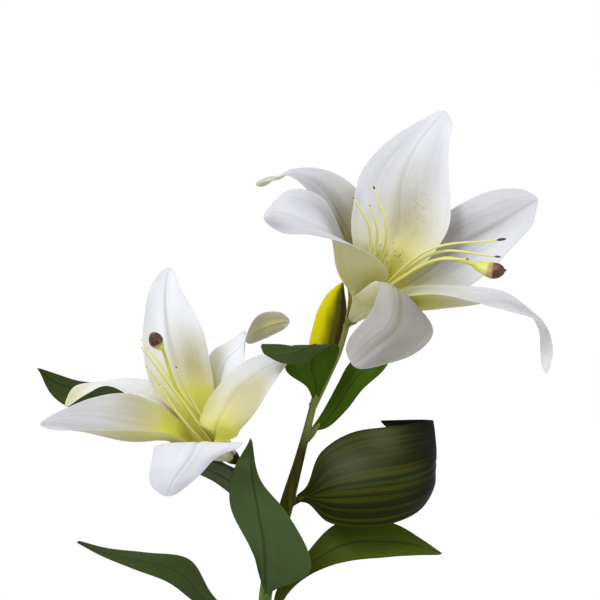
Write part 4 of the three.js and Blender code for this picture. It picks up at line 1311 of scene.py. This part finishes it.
# Freckles on a square metre, by petal.
FRECKLES = {"right_top": 90000, "right_left": 30000, "right_back": 30000}
for seed, (place, density) in enumerate(FRECKLES.items(), 20):
    skin = bpy.data.objects[f"petal_{place}_skin"]
    scatter(f"freckles_{place}", skin, "freckled", peat, FRECKLE, "petal", density, (0.4, 1.0), seed)
bpy.data.objects.remove(peat)
bpy.data.objects.remove(bark)

# %% [markdown]
# ## Stage, light and camera
# The plant stands on a plain pale floor that runs out into white. Light is soft and comes from the upper
# left, with a weak fill from the right and a bright, even surrounding, as in a small photo tent.

# %% Floor
BLACK = (0.0, 0.0, 0.0)
WHITE = (1.0, 1.0, 1.0)
PALE = (0.80, 0.80, 0.80)


def floor_finish():
    """Grey by the pot, and white light of its own further out."""
    f = Finish("pale_floor")
    reach = f.node("ShaderNodeVectorMath", {"operation": "LENGTH"}, {0: f.place()}, output="Value")
    far = reach.between(0.5, 1.3)
    return f.finish(
        base_color=f.mix(far, PALE, BLACK), roughness=0.9, specular_ior_level=0.0,
        emission_color=f.mix(far, BLACK, WHITE), emission_strength=1.0,
    )


FLOOR_RADIUS = 12
FLOOR_DROP = 0.2
bpy.ops.mesh.primitive_circle_add(
    vertices=96, radius=FLOOR_RADIUS, fill_type="NGON", location=(0, 0, -FLOOR_DROP * MM),
)
floor = bpy.context.object
floor.name = "floor"
floor.data.materials.append(floor_finish())
floor.visible_diffuse = False
floor.visible_glossy = False

# %% Light
def soft_box(name, place, target, size, watts):
    lamp = bpy.data.lights.new(name, "AREA")
    lamp.shape = "DISK"
    lamp.size = size
    lamp.energy = watts
    box = put(name, lamp)
    box.location = place
    box.rotation_euler = (Vector(target) - Vector(place)).to_track_quat("-Z", "Y").to_euler()


soft_box("key", place=(-1.3, -1.5, 1.9), target=(0.0, 0.0, 0.38), size=0.9, watts=29)
soft_box("fill", place=(1.5, -1.4, 0.7), target=(0.0, 0.0, 0.35), size=1.2, watts=7)
world = bpy.data.worlds.new("white tent")
bpy.context.scene.world = world
world.use_nodes = True
tree = world.node_tree
tree.nodes.clear()
seen = add_node(tree, "ShaderNodeBackground", None, {"Color": WHITE})
lit = add_node(tree, "ShaderNodeBackground", None, {"Color": (0.97, 0.98, 1.0), "Strength": 0.76})
rays = add_node(tree, "ShaderNodeLightPath")
both = {0: rays.outputs["Is Camera Ray"], 1: lit.outputs[0], 2: seen.outputs[0]}
choose = add_node(tree, "ShaderNodeMixShader", None, both)
add_node(tree, "ShaderNodeOutputWorld", None, {0: choose.outputs[0]})
bpy.context.scene.view_settings.view_transform = "Standard"

# %% [markdown]
# The camera stands two metres away at the height of the blooms, with a long lens, which keeps the
# perspective flat. Its frame cuts the stem above the pot.

# %% Camera
CAMERA_DISTANCE = 2000
FRAME_WIDTH = 390
SENSOR_WIDTH = 36
camera = put("camera", bpy.data.cameras.new("camera"))
camera.location = (0.02275, -CAMERA_DISTANCE * MM, 0.395)
camera.rotation_euler = (math.radians(90), 0, 0)
camera.data.sensor_width = SENSOR_WIDTH
camera.data.lens = SENSOR_WIDTH * CAMERA_DISTANCE / FRAME_WIDTH
bpy.context.scene.camera = camera
